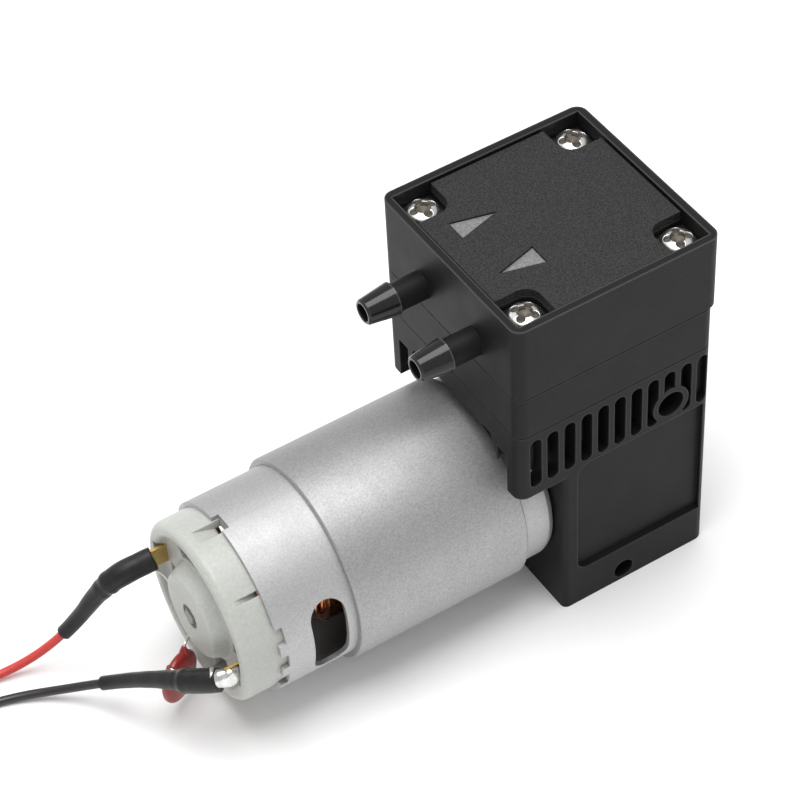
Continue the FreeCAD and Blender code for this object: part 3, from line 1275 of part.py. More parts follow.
def solder_joint(tab):
    """Solder on the lower terminal, clear of the end bell, and the strands that it holds."""
    spot = vector("-tab_rear + 1.0", "-tab_y - tab_thick / 2 - 0.4", "axis_z - tab_z + 0.3")
    strands = FreeCAD.Vector(*BLACK_ROUTE[0]) - spot
    along, ball_rad = FreeCAD.Vector(value_of("tab_wide * 0.5"), 0, 0), value_of("tab_wide * 0.42")
    lump = Part.makeSphere(ball_rad, spot).fuse([
        Part.makeCylinder(ball_rad, along.Length, spot, along), Part.makeSphere(ball_rad, spot + along),
    ])
    wire = Part.makeCylinder(value_of("wire_rad * 0.7"), strands.Length, spot, strands)
    lead = swept(route_edges(BLACK_ROUTE)[:2], value_of("wire_rad + press_gap"))
    inside = Part.makeBox(20, 20, 20, spot + FreeCAD.Vector(-10, value_of("tab_thick / 2 + 0.4"), -10))
    lump = lump.fuse(wire).cut([tab.Shape, PIECES["end_bell"].Shape, lead, inside])
    shape_piece("solder_joint", [max(lump.Solids, key=lambda s: s.Volume)])


def heat_shrink_sleeves(tab):
    """A sleeve on each lead; the red one starts wide, over the upper terminal's tip."""
    bore, close = value_of("wire_rad + press_gap"), value_of("sleeve_rad")
    wide, over, taper = value_of("sleeve_end_rad"), value_of("sleeve_over"), value_of("sleeve_taper")
    members = []
    for route, count in ((RED_ROUTE, 7), (BLACK_ROUTE, 8)):
        edges = route_edges(route)
        sleeve = swept(edges[:count], close)
        start = edges[0].Vertexes[0].Point
        along = edges[0].tangentAt(edges[0].FirstParameter)
        back = over if route is RED_ROUTE else 0.0
        cuff = Part.makeCylinder(wide, back + over, start - along * back, along)
        cone = Part.makeCone(wide, close, taper, start + along * over, along)
        sleeve = sleeve.fuse([cuff, cone]).cut(swept(edges[:count + 1], bore))
        members.append(sleeve.cut(tab.Shape) if back else sleeve)
    shape_piece("heat_shrink_sleeves", members)


def capacitor():
    body = body_named("capacitor_disc")
    half = "(disc_thick / 2)"
    turned(body, [
        ("-%s" % half, "0"), ("-%s" % half, "disc_rad * 0.55"), ("-%s * 0.45" % half, "disc_rad - 0.3"),
        ("0", "disc_rad"), ("%s * 0.45" % half, "disc_rad - 0.3"), (half, "disc_rad * 0.55"),
        (half, "0"),
    ], "XZ_Plane", "H_Axis")
    put(body, "-disc_x", "disc_y", "disc_z")
    # the legs run from the disc's upper edge to the inner faces of the terminals
    x, z = value_of("-disc_x"), value_of("disc_z + disc_rad * 0.9")
    near = value_of("tab_y - tab_thick / 2 - leg_rad - fit_gap")
    reach = value_of("disc_x - tab_rear + tab_thick * 2.8")
    legs = []
    for way in (-1, 1):
        end = value_of("axis_z") + way * value_of("tab_z") - value_of("tab_wide / 4")
        legs.append(route_solid([
            (x, value_of("disc_y") + way * value_of("disc_rad * 0.47"), z),
            (x + reach * 0.16, way * value_of("disc_rad * 0.84"), z + value_of("disc_rad * 0.4")),
            (x + reach * 0.56, way * near * 0.77, end - value_of("tab_wide / 2")),
            (x + reach * 0.88, way * near, end - value_of("tab_wide / 7")),
            (x + reach, way * near, end + value_of("tab_wide / 7")),
        ], value_of("leg_rad")))
    shape_piece("capacitor_legs", legs)


def route_edges(points, say=None):
    """Straight runs joined by tangent arcs, each as large as the runs beside it allow."""
    spots = [FreeCAD.Vector(*p) for p in points]
    runs = [b - a for a, b in zip(spots, spots[1:])]
    edges, at, radii = [], spots[0], []
    for k in range(1, len(spots) - 1):
        into, out = FreeCAD.Vector(runs[k - 1]), FreeCAD.Vector(runs[k])
        turn = into.getAngle(out)
        reach = 0.45 * min(into.Length, out.Length)
        radii.append(reach / math.tan(turn / 2))
        into.normalize()
        out.normalize()
        start, end = spots[k] - into * reach, spots[k] + out * reach
        bulge = (spots[k] - (start + end) * 0.5).normalize()
        middle = (start + end) * 0.5 + bulge * (radii[-1] * (1 - math.cos(turn / 2)))
        edges.append(Part.LineSegment(at, start).toShape())
        edges.append(Part.Arc(start, middle, end).toShape())
        at = end
    edges.append(Part.LineSegment(at, spots[-1]).toShape())
    if say:
        print(say, "radii", ["%.1f" % r for r in radii], "length %.1f" % sum(e.Length for e in edges))
    return edges


def swept(edges, radius):
    """A round solid along a path."""
    path, first = Part.Wire(edges), edges[0]
    along = first.tangentAt(first.FirstParameter)
    circle = Part.Wire([Part.Circle(first.Vertexes[0].Point, along, radius).toShape()])
    solid = path.makePipeShell([circle], True, False)
    due = math.pi * radius ** 2 * path.Length
    if abs(solid.Volume - due) > 0.03 * due:
        raise ValueError("a swept volume is %.2f, not %.2f" % (solid.Volume, due))
    return solid


def route_solid(points, radius, say=None):
    return swept(route_edges(points, say), radius)


def shape_piece(name, shapes):
    """A sub-part set from shapes, where no feature fits."""
    thing = doc.addObject("Part::Feature", name + "_shape")
    thing.Shape = shapes[0] if len(shapes) == 1 else Part.makeCompound(shapes)
    return piece(name, thing)


def leads():
    """Each lead from its joint to its coil, the coil, and its stripped and tinned end."""
    wire = value_of("wire_rad")
    tips, ties = [], []
    for name, route in (("red", RED_ROUTE), ("black", BLACK_ROUTE)):
        (cx, cy), (degrees, way) = COILS[name], TAILS[name]
        turn = math.radians(degrees)
        hole = value_of("coil_rad - coil_wide / 2") - 0.1
        start = FreeCAD.Vector(cx + hole * math.cos(turn), cy + hole * math.sin(turn), 0.5 + wire)
        heading = turn + way * math.radians(150)
        step = FreeCAD.Vector(math.cos(heading), math.sin(heading), 0)
        tail = value_of("tail_long")
        tips.append(Part.makeCylinder(wire * 0.75, value_of("tin_long"), start + step * tail, step))
        tube = route_solid(route, wire, name + " lead")
        shape_piece(name + "_lead", [tube, Part.makeCylinder(wire, tail, start, step)])
        body = body_named(name + "_lead_coil")
        near, far = "coil_rad - coil_wide / 2", "coil_rad + coil_wide / 2"
        low, high = "tie_thick", "tie_thick + coil_high"
        turned(body, [
            (near, low + " + 0.5"), (near + " + 0.5", low), (far + " - 0.5", low), (far, low + " + 0.5"),
            (far, high + " - 0.5"), (far + " - 0.5", high), (near + " + 0.5", high), (near, high + " - 0.5"),
        ])
        body.Placement = FreeCAD.Placement(FreeCAD.Vector(cx, cy, 0), FreeCAD.Rotation())
        ties.append(coil_tie(cx, cy, degrees + way * 120))
    shape_piece("tinned_ends", tips)
    shape_piece("lead_ties", ties)


def coil_tie(cx, cy, degrees):
    """A flat band round a coil, where a line from the coil's middle crosses it."""
    thick, wide = value_of("tie_thick"), value_of("tie_wide")
    across, high = value_of("coil_wide + tie_slack"), value_of("coil_high + press_gap")
    outer = Part.makeBox(across + 2 * thick, wide, high + 2 * thick)
    outer.translate(FreeCAD.Vector(-across / 2 - thick, -wide / 2, 0))
    inner = Part.makeBox(across, wide + 2, high)
    inner.translate(FreeCAD.Vector(-across / 2, -wide / 2 - 1, thick))
    band = outer.cut(inner)
    band.translate(FreeCAD.Vector(value_of("coil_rad"), 0, 0))
    band.rotate(FreeCAD.Vector(0, 0, 0), FreeCAD.Vector(0, 0, 1), degrees)
    band.translate(FreeCAD.Vector(cx, cy, 0))
    return band


for build in (
    crankcase, rear_cover, valve_plate, valves, head_gasket, head_cover, top_plate, flow_arrows,
    cover_screws, diaphragm, clamp, connecting_rod, bearing, eccentric, grub_screw, motor_can,
    motor_screws, flux_ring, magnets, armature, motor_shaft, bushes, end_bell, brushes, terminals,
    capacitor, leads,
):
    build()

doc.recompute()
faults = [o.Name for o in doc.Objects if "Invalid" in o.State or "Error" in o.State]
if faults:
    raise ValueError("failed objects: %s" % ", ".join(faults))
os.makedirs("parts", exist_ok=True)
for name, thing in PIECES.items():
    if thing.Shape.isNull() or not thing.Shape.isValid():
        raise ValueError("%s has no valid shape" % name)
for name, thing in PIECES.items():
    thing.Shape.exportStep("parts/%s.step" % name)
    print(name, len(thing.Shape.Solids), "solids, %.1f mm3" % thing.Shape.Volume)
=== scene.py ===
import math

import bmesh
import bpy
import numpy as np
from mathutils import Matrix, Vector


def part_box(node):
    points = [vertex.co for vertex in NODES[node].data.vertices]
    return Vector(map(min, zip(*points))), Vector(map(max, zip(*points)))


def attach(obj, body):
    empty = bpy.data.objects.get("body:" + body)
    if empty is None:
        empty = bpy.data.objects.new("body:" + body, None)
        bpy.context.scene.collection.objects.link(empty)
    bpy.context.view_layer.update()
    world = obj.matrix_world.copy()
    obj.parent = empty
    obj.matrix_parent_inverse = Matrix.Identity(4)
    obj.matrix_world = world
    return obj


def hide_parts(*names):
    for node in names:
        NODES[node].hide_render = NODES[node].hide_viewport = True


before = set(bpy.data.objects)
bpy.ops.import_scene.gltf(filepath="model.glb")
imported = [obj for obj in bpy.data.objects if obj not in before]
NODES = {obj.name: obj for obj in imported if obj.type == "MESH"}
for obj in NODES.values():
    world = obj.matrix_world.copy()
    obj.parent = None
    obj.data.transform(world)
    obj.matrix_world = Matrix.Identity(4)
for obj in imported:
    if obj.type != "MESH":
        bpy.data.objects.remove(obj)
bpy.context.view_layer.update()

# Looks of the diaphragm vacuum pump. The places and sizes of its pieces are in millimetres, and MM turns
# them into the metres of the frame. The lamps, the floor and the leads' lengths are in metres.

MM = 0.001
SCENE = bpy.context.scene
UP = (0.0, 0.0, 1.0)
MOTOR_AXIS_HEIGHT = 21.35


# Camera

CAMERA_AZIMUTH = math.radians(-29.91)
CAMERA_ELEVATION = math.radians(46.353)
CAMERA_ROLL = math.radians(-3.613)
CAMERA_TARGET = np.array([-26.659, 6.971, 40.0]) * MM
CAMERA_DISTANCE = 488.829 * MM
CAMERA_LENS, CAMERA_SENSOR = 127.43, 36.0


def add_camera():
    """The photograph's view: a long lens that looks down on the motor's side."""
    az, el, roll = CAMERA_AZIMUTH, CAMERA_ELEVATION, CAMERA_ROLL
    back = np.array([math.sin(az) * math.cos(el), -math.cos(az) * math.cos(el), math.sin(el)])
    right = np.cross(-back, UP)
    right /= np.linalg.norm(right)
    up = np.cross(right, -back)
    across = math.cos(roll) * right + math.sin(roll) * up
    above = -math.sin(roll) * right + math.cos(roll) * up
    data = bpy.data.cameras.new("camera")
    data.lens = CAMERA_LENS
    data.sensor_width = CAMERA_SENSOR
    camera = bpy.data.objects.new("camera", data)
    pose = Matrix([list(row) for row in np.stack([across, above, back], axis=1)]).to_4x4()
    pose.translation = Vector(CAMERA_TARGET + back * CAMERA_DISTANCE)
    camera.matrix_world = pose
    SCENE.collection.objects.link(camera)
    SCENE.camera = camera


add_camera()


# Shader nodes

NOISE_FROM, NOISE_TO = 0.35, 0.65
# The mask of the painted edge highlights: how open the space behind a face is on the flat and at an
# edge, and before it in a seam and in the open
BEHIND_FLAT, BEHIND_EDGE = 0.95, 0.55
SEAM_SHUT, SEAM_OPEN = 0.8, 0.97
EDGE_SAMPLES = 6


def node(tree, kind, inputs=None, **settings):
    """A shader node with its settings and inputs; an input is a value or another node's output."""
    made = tree.nodes.new("ShaderNode" + kind)
    for key, value in settings.items():
        setattr(made, key, value)
    for key, value in (inputs or {}).items():
        if isinstance(value, bpy.types.NodeSocket):
            tree.links.new(value, made.inputs[key])
        else:
            made.inputs[key].default_value = value
    return made


def noise(tree, size, detail, roughness=0.55):
    """Noise in the object's own space, with lumps of about the given size in metres."""
    place = node(tree, "TexCoord").outputs["Object"]
    return node(tree, "TexNoise", {"Vector": place, "Scale": 1 / size, "Detail": detail,
                                   "Roughness": roughness}).outputs["Fac"]


def between(tree, factor, low, high):
    """Moves the part of a noise that is mostly met onto the range from low to high."""
    return node(tree, "MapRange", {"Value": factor, "From Min": NOISE_FROM, "From Max": NOISE_TO,
                                   "To Min": low, "To Max": high}).outputs["Result"]


def mixed(tree, factor, first, second):
    """A colour between two, of which the first may be another node's output."""
    first = first if isinstance(first, bpy.types.NodeSocket) else (*first, 1)
    return node(tree, "Mix", {"Factor": factor, "A": first, "B": (*second, 1)},
                data_type="RGBA").outputs["Result"]


def shader_of(made):
    """The material's own shader, which every socket here belongs to."""
    return made.node_tree.nodes["Principled BSDF"]


def source(made, name):
    """The output that now feeds a socket of the material's shader."""
    return shader_of(made).inputs[name].links[0].from_socket


def feed(made, name, output):
    """Leads an output into a socket of the material's shader."""
    made.node_tree.links.new(output, shader_of(made).inputs[name])


# Finishes

def finish(name, dark, light, rough, metal=0.0, grain=0.3 * MM, bump=0.01 * MM, edge=0.15 * MM,
           patch=6 * MM, spread=0.08, **more):
    """A surface with a fine grain in its height, patches in its gloss, and softly rounded edges."""
    made = bpy.data.materials.new(name)
    made.use_nodes = True
    tree = made.node_tree
    shader = shader_of(made)
    fine = noise(tree, grain, detail=4.0, roughness=0.6)
    broad = noise(tree, patch, detail=3.0)
    feed(made, "Base Color", mixed(tree, between(tree, fine, 0, 1), dark, light))
    feed(made, "Roughness", between(tree, broad, rough - spread, rough + spread))
    shader.inputs["Metallic"].default_value = metal
    for key, value in more.items():
        shader.inputs[key.replace("_", " ")].default_value = value
    rounded = node(tree, "Bevel", {"Radius": edge}, samples=4).outputs["Normal"]
    relief = node(tree, "Bump", {"Height": fine, "Distance": bump, "Strength": 1.0, "Normal": rounded})
    feed(made, "Normal", relief.outputs["Normal"])
    return made


def painted_edge_highlights(made, width, colour, share):
    """Painted highlights: lighter outer edges, found by how near the solid's own other faces lie behind
    the surface, but not where a seam closes in before it."""
    tree = made.node_tree
    behind = node(tree, "AmbientOcclusion", {"Distance": width}, inside=True, only_local=True,
                  samples=EDGE_SAMPLES).outputs["AO"]
    edge = node(tree, "MapRange", {"Value": behind, "From Min": BEHIND_FLAT, "From Max": BEHIND_EDGE,
                                   "To Max": share}).outputs["Result"]
    before = node(tree, "AmbientOcclusion", {"Distance": 2 * width}, samples=EDGE_SAMPLES).outputs["AO"]
    free = node(tree, "MapRange", {"Value": before, "From Min": SEAM_SHUT,
                                   "From Max": SEAM_OPEN}).outputs["Result"]
    both = node(tree, "Math", {0: edge, 1: free}, operation="MULTIPLY").outputs["Value"]
    feed(made, "Base Color", mixed(tree, both, source(made, "Base Color"), colour))
    return made


def case_plastic():
    """Black glass-filled nylon with a fine spark-eroded texture."""
    made = finish("case_plastic", (0.006, 0.006, 0.0063), (0.012, 0.012, 0.0125), 0.5,
                  grain=0.22 * MM, bump=0.012 * MM, edge=0.25 * MM, spread=0.02,
                  Specular_IOR_Level=0.16)
    # Painted highlights along the outer edges of the case
    return painted_edge_highlights(made, 0.35 * MM, (0.06, 0.06, 0.061), 0.6)


# Along X: where the nozzles' stems turn into polished barbs
STEM_END, BARB_START = -26.1 * MM, -26.3 * MM
BARB_ROUGHNESS, BARB_COAT, BARB_COAT_ROUGHNESS = 0.16, 0.35, 0.08


def cover_plastic():
    """The cover's plastic: textured, and polished on the barbs of the nozzles."""
    made = finish("cover_plastic", (0.007, 0.007, 0.0073), (0.013, 0.013, 0.0135), 0.48,
                  grain=0.22 * MM, bump=0.010 * MM, edge=0.25 * MM, spread=0.02,
                  Specular_IOR_Level=0.16)
    tree = made.node_tree
    place = node(tree, "SeparateXYZ", {"Vector": node(tree, "TexCoord").outputs["Object"]})
    barb = node(tree, "MapRange", {"Value": place.outputs["X"], "From Min": STEM_END,
                                   "From Max": BARB_START}).outputs["Result"]
    gloss = node(tree, "Mix", {"Factor": barb, "A": source(made, "Roughness"), "B": BARB_ROUGHNESS},
                 data_type="FLOAT")
    feed(made, "Roughness", gloss.outputs["Result"])
    coat = node(tree, "Math", {0: barb, 1: BARB_COAT}, operation="MULTIPLY")
    feed(made, "Coat Weight", coat.outputs["Value"])
    shader_of(made).inputs["Coat Roughness"].default_value = BARB_COAT_ROUGHNESS
    # Painted highlights along the outer edges of the cover
    return painted_edge_highlights(made, 0.35 * MM, (0.09, 0.09, 0.091), 0.8)


def plate_plastic():
    """The top plate: dark grey with a sparkling grain."""
    return finish("plate_plastic", (0.004, 0.004, 0.0042), (0.036, 0.036, 0.0375), 0.55,
                  grain=0.26 * MM, bump=0.03 * MM, edge=0.12 * MM, spread=0.02,
                  Specular_IOR_Level=0.25)


def arrow_foil():
    """The flow arrows: a grey, half metallic foil."""
    return finish("arrow_foil", (0.16, 0.16, 0.163), (0.25, 0.25, 0.253), 0.42, metal=0.35,
                  grain=0.5 * MM, bump=0.004 * MM, patch=2 * MM)


def plated_steel(name, dark, light, rough, bump, **more):
    """Zinc-plated or drawn steel with a fine frosted grain."""
    return finish(name, dark, light, rough, metal=1.0, grain=0.35 * MM, bump=bump, edge=0.2 * MM,
                  **more)


def nylon():
    """Natural nylon: milky, and a little see-through at thin edges."""
    return finish("natural_nylon", (0.42, 0.43, 0.4), (0.47, 0.48, 0.455), 0.42, grain=0.6 * MM,
                  bump=0.004 * MM, edge=0.35 * MM, Subsurface_Weight=0.35,
                  Subsurface_Radius=(1.6, 1.6, 1.3), Subsurface_Scale=MM)


def brass():
    """The terminals and the brushes' arms."""
    return finish("brass", (0.62, 0.43, 0.15), (0.75, 0.55, 0.22), 0.34, metal=1.0,
                  grain=0.4 * MM, bump=0.004 * MM)


def copper():
    """Copper under a clear enamel."""
    return finish("enamelled_copper", (0.55, 0.19, 0.07), (0.75, 0.3, 0.12), 0.3, metal=1.0,
                  grain=0.5 * MM, bump=0.01 * MM, Coat_Weight=0.6)


def rubber(name, dark, light, rough):
    """Rubber or soft plastic with hardly any grain."""
    return finish(name, dark, light, rough, grain=0.4 * MM, bump=0.006 * MM)


def dress_nodes():
    """A finish for every CAD node, also for those that a new piece replaces."""
    case = case_plastic()
    steel = plated_steel("bright_steel", (0.62, 0.62, 0.62), (0.78, 0.78, 0.77), 0.28, 0.004 * MM)
    yellow, red_metal = brass(), copper()
    black_rubber = rubber("black_rubber", (0.012, 0.012, 0.012), (0.02, 0.02, 0.02), 0.6)
    can = plated_steel("can_steel", (0.46, 0.46, 0.463), (0.55, 0.55, 0.55), 0.62, 0.012 * MM,
                       spread=0.03)
    ring = plated_steel("ring_steel", (0.36, 0.36, 0.363), (0.46, 0.46, 0.462), 0.56, 0.02 * MM,
                        spread=0.03)
    shaft = plated_steel("shaft_steel", (0.14, 0.14, 0.13), (0.26, 0.255, 0.24), 0.28, 0.01 * MM)
    # Sintered bronze, dark of itself from its oil, and darker still as painted shade for the bush sunk
    # in the end bell's hub
    bronze = finish("oiled_bronze_painted_shade", (0.07, 0.05, 0.03), (0.14, 0.1, 0.05), 0.4, metal=0.8)
    dark_iron = finish("dark_iron", (0.05, 0.05, 0.05), (0.09, 0.09, 0.09), 0.5, metal=0.6)
    tin = plated_steel("tin", (0.72, 0.72, 0.7), (0.85, 0.85, 0.83), 0.25, 0.02 * MM)
    white = nylon()
    finishes = {
        "head_cover": cover_plastic(), "valve_plate": case, "crankcase": case, "rear_cover": case,
        "top_plate": plate_plastic(), "flow_arrows": arrow_foil(), "cover_screws": steel,
        "head_gasket": black_rubber, "inlet_valve": black_rubber, "outlet_valve": black_rubber,
        "diaphragm": black_rubber, "clamp_disc": steel, "clamp_screw": steel,
        "connecting_rod": white, "bearing_outer_ring": steel, "bearing_balls": steel,
        "bearing_inner_ring": steel, "eccentric": dark_iron, "grub_screw": dark_iron,
        "motor_screws": steel, "motor_can": can, "flux_ring": ring, "magnets": dark_iron,
        "armature_core": dark_iron, "armature_windings": red_metal, "commutator": red_metal,
        "motor_shaft": shaft, "front_bush": bronze, "rear_bush": bronze, "end_bell": white,
        "brushes": dark_iron, "brush_arms": yellow, "terminals": yellow, "solder_joint": tin,
        "capacitor_disc": red_metal, "capacitor_legs": tin, "heat_shrink_sleeves": black_rubber,
        "red_lead": black_rubber, "black_lead": black_rubber, "red_lead_coil": black_rubber,
        "black_lead_coil": black_rubber, "lead_ties": black_rubber, "tinned_ends": tin,
    }
    for name, made in finishes.items():
        NODES[name].data.materials.clear()
        NODES[name].data.materials.append(made)
    return finishes


FINISHES = dress_nodes()


# Surfaces

# In metres: points nearer than this are one, and an edge shorter than this is none
MERGE_WITHIN, SLIVER = 1e-7, 1e-8


def round_about(count):
    """Equal steps of a full turn, in radians."""
    return np.linspace(0, 2 * np.pi, count, endpoint=False)


def grid_faces(rows, columns, first):
    """The four corners of each cell of a grid whose last column is joined to its first."""
    r, c = np.meshgrid(np.arange(rows - 1), np.arange(columns), indexing="ij")
    r, c = r.ravel(), c.ravel()
    after = (c + 1) % columns
    return first + np.stack([r * columns + c, r * columns + after,
                             (r + 1) * columns + after, (r + 1) * columns + c], axis=1)


def close_up(mesh):
    """Merges points that fall together, fills open ends and turns every face outwards."""
    shape = bmesh.new()
    shape.from_mesh(mesh)
    bmesh.ops.remove_doubles(shape, verts=shape.verts, dist=MERGE_WITHIN)
    bmesh.ops.dissolve_degenerate(shape, edges=shape.edges, dist=SLIVER)
    bmesh.ops.holes_fill(shape, edges=shape.edges, sides=0)
    bmesh.ops.recalc_face_normals(shape, faces=shape.faces)
    shape.to_mesh(mesh)
    shape.free()


def many_grids(name, grids, made, body, recess=None):
    """One piece of several closed surfaces, each a grid of points in millimetres, rows by columns
    by 3 and joined round its columns. recess says for each point how far it lies in a recess."""
    first, faces = 0, []
    for points in grids:
        rows, columns = points.shape[:2]
        faces.append(grid_faces(rows, columns, first))
        first += rows * columns
    mesh = bpy.data.meshes.new(name)
    corners = np.concatenate([points.reshape(-1, 3) for points in grids]) * MM
    mesh.from_pydata(corners.tolist(), [], np.concatenate(faces).tolist())
    mesh.polygons.foreach_set("use_smooth", np.full(len(mesh.polygons), True))
    if recess is not None:
        mesh.attributes.new("recess", "FLOAT", "POINT").data.foreach_set("value", recess)
    close_up(mesh)
    thing = bpy.data.objects.new(name, mesh)
    SCENE.collection.objects.link(thing)
    mesh.materials.append(made)
    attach(thing, body)
    return thing


def tube_grid(line, wide, thick, around, hint=UP):
    """A tube along a line: at each station an ellipse, wide along the hint and thick across it.
    Where stations fall together, the direction is that of the nearest one that moves on."""
    along = np.gradient(line, axis=0)
    moving = np.flatnonzero(np.linalg.norm(along, axis=1) > 1e-9)
    along = along[moving[np.abs(np.arange(len(line))[:, None] - moving).argmin(axis=1)]]
    along /= np.linalg.norm(along, axis=1, keepdims=True)
    side = np.cross(along, np.asarray(hint, float))
    side /= np.linalg.norm(side, axis=1, keepdims=True)
    up = np.cross(side, along)
    turn = round_about(around)
    ring = np.cos(turn)[None, :, None] * side[:, None] * np.asarray(thick).reshape(-1, 1, 1)
    ring = ring + np.sin(turn)[None, :, None] * up[:, None] * np.asarray(wide).reshape(-1, 1, 1)
    return line[:, None] + ring


def wire_grid(line, radius, around, hint=UP):
    """A round wire along a line."""
    radii = np.full(len(line), radius)
    return tube_grid(line, radii, radii, around, hint)


def resampled(line, stations):
    """Points of a line at the given distances along it."""
    steps = np.linalg.norm(np.diff(line, axis=0), axis=1)
    far = np.concatenate([[0.0], np.cumsum(steps)])
    return np.stack([np.interp(stations, far, line[:, k]) for k in range(3)], axis=1)


def smooth_curve(name, points, steps):
    """An object with one smooth curve from the first point to the last, drawn towards the others.
    steps says how many points it has between two of them."""
    data = bpy.data.curves.new(name, "CURVE")
    data.dimensions = "3D"
    data.resolution_u = steps
    spline = data.splines.new("NURBS")
    spline.points.add(len(points) - 1)
    for place, point in zip(spline.points, points):
        place.co = (*point, 1.0)
    spline.order_u = 3
    spline.use_endpoint_u = True
    thing = bpy.data.objects.new(name, data)
    SCENE.collection.objects.link(thing)
    return thing


def points_of(curve):
    """The points of a curve that has no thickness yet."""
    line = bpy.data.meshes.new_from_object(curve)
    points = np.array([v.co for v in line.vertices])
    bpy.data.meshes.remove(line)
    return points


# Leads

RED_ROUTE = [
    (-77.24, 12.56, 24.4), (-81.0, 13.2, 23.8), (-84.6, 15.0, 19.5), (-87.6, 17.2, 13.3),
    (-91.5, 19.4, 7.6), (-96.8, 21.6, 3.0), (-103.6, 23.3, 0.9), (-110.6, 24.5, 0.85),
    (-115.0, 24.6, 1.4),
]
BLACK_ROUTE = [
    (-76.6, -12.4, 18.5), (-79.6, -9.6, 17.3), (-82.6, -4.4, 14.6), (-85.6, 1.4, 10.6),
    (-89.3, 7.2, 6.2), (-94.6, 12.6, 2.6), (-101.4, 17.0, 0.9), (-108.6, 19.0, 0.85),
    (-116.0, 19.2, 0.85), (-123.0, 19.1, 1.4),
]
WIRE_RADIUS = 0.8
WIRE_STEPS, WIRE_ROUNDNESS = 10, 6
# The coils: radii, the whole turn and the stretch of it that narrows in degrees, and heights
COIL_OUTER, COIL_INNER, COIL_HOLE = 9.7, 8.0, 7.0
COIL_TURN, NARROWS_AFTER, NARROWS_OVER = 660.0, 330, 60
COIL_POINTS = 32
COIL_HEIGHT, TAIL_HEIGHT = 1.35, 1.3
TAIL_LENGTH, TAIL_HEADING = 3.5, math.radians(150)


def coil_points(centre, start, way):
    """The put-away turns: an outer one, an inner one beside it and the tail in the middle."""
    turned = np.linspace(0, COIL_TURN, COIL_POINTS)[1:]
    shrink = np.clip((turned - NARROWS_AFTER) / NARROWS_OVER, 0, 1)
    radius = COIL_OUTER + (COIL_INNER - COIL_OUTER) * shrink
    angle = np.radians(start + way * turned)
    height = np.full(len(turned), COIL_HEIGHT)
    ring = np.stack([centre[0] + radius * np.cos(angle), centre[1] + radius * np.sin(angle), height],
                    axis=1)
    last = math.radians(start + way * COIL_TURN)
    hole = np.array([centre[0] + COIL_HOLE * math.cos(last), centre[1] + COIL_HOLE * math.sin(last),
                     TAIL_HEIGHT])
    heading = last + way * TAIL_HEADING
    tail = hole + TAIL_LENGTH * np.array([math.cos(heading), math.sin(heading), 0])
    return [tuple(p) for p in ring[:-1]] + [tuple(hole), tuple(tail)]


def lead(name, made, route, centre, start, way, replaced):
    """A limp lead on one smooth curve, from its joint to its stripped end. Its coil lies round the
    centre, begins at the start in degrees and goes round in the way, 1 or -1."""
    points = route + coil_points(centre, start, way)
    thing = smooth_curve(name, [np.array(point) * MM for point in points], WIRE_STEPS)
    line = points_of(thing) / MM
    data = thing.data
    data.bevel_depth = WIRE_RADIUS * MM
    data.bevel_resolution = WIRE_ROUNDNESS
    data.use_fill_caps = True
    data.materials.append(made)
    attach(thing, "pump")
    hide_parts(*replaced)
    return line


red_pvc = rubber("red_pvc", (0.5, 0.035, 0.03), (0.62, 0.06, 0.05), 0.38)
black_pvc = rubber("black_pvc", (0.012, 0.012, 0.012), (0.022, 0.022, 0.022), 0.38)
red_line = lead("red_wire", red_pvc, RED_ROUTE, (-115.0, 34.3), -90.0, -1,
                ["red_lead", "red_lead_coil"])
black_line = lead("black_wire", black_pvc, BLACK_ROUTE, (-123.0, 9.4), 90.0, 1,
                  ["black_lead", "black_lead_coil"])


# Heat-shrink sleeves

# For each lead: how far before it the sleeve begins, where the sleeve bends, and its length
RED_SLEEVE = (2.9, 9.5, 25.0)
BLACK_SLEEVE = (0.4, 7.2, 27.0)
# The half widths of a sleeve at shares of the way to its bend
SLEEVE_PLACES = np.array([0, 0.45, 0.9, 1.3, 1.9, 2.6, 3.3])
SLEEVE_WIDE = [2.25, 2.3, 2.15, 1.75, 1.5, 1.38, 1.28]
SLEEVE_THICK = [1.95, 2.15, 2.1, 1.75, 1.5, 1.38, 1.28]
SLEEVE_MOUTH = 0.82
SLEEVE_ROWS, SLEEVE_AROUND = 90, 40
STRAIGHT_END = 0.4
# A wave along the sleeve that fades away from its joint, and a kink at its bend, as shares of its width
WAVE, WAVE_TURN, WAVE_FADE = 0.02, 1.3, 12
KINK, KINK_TURN, KINK_WIDTH = 0.07, 2.4, 1.1


def sleeve_grid(line, before, bend, length):
    """A sleeve on a lead: wide over the joint, then narrowing to fit the lead, with closed ends.
    Its widths carry a dying wave, and a kink that swells before the bend and sinks after it."""
    start = line[0] + (line[0] - line[3]) / np.linalg.norm(line[0] - line[3]) * before
    path = np.concatenate([[start], line])
    s = np.linspace(0, length, SLEEVE_ROWS)
    wide = np.interp(s, SLEEVE_PLACES * bend, SLEEVE_WIDE)
    thick = np.interp(s, SLEEVE_PLACES * bend, SLEEVE_THICK)
    wave = WAVE * np.sin(s * WAVE_TURN) * np.exp(-s / WAVE_FADE)
    near = np.exp(-((s - bend) / KINK_WIDTH) ** 2)
    ripple = 1 + wave - KINK * near * np.sin(KINK_TURN * (s - bend))
    s = np.concatenate([[0.0], s, [length]])
    wide = np.concatenate([[SLEEVE_MOUTH], wide * ripple, [SLEEVE_MOUTH]])
    thick = np.concatenate([[SLEEVE_MOUTH], thick * ripple, [SLEEVE_MOUTH]])
    stations = resampled(path, s)
    smooth = resampled(path, np.clip(s, STRAIGHT_END, length - STRAIGHT_END))
    grid = tube_grid(smooth, wide, thick, SLEEVE_AROUND)
    return grid + (stations - smooth)[:, None]


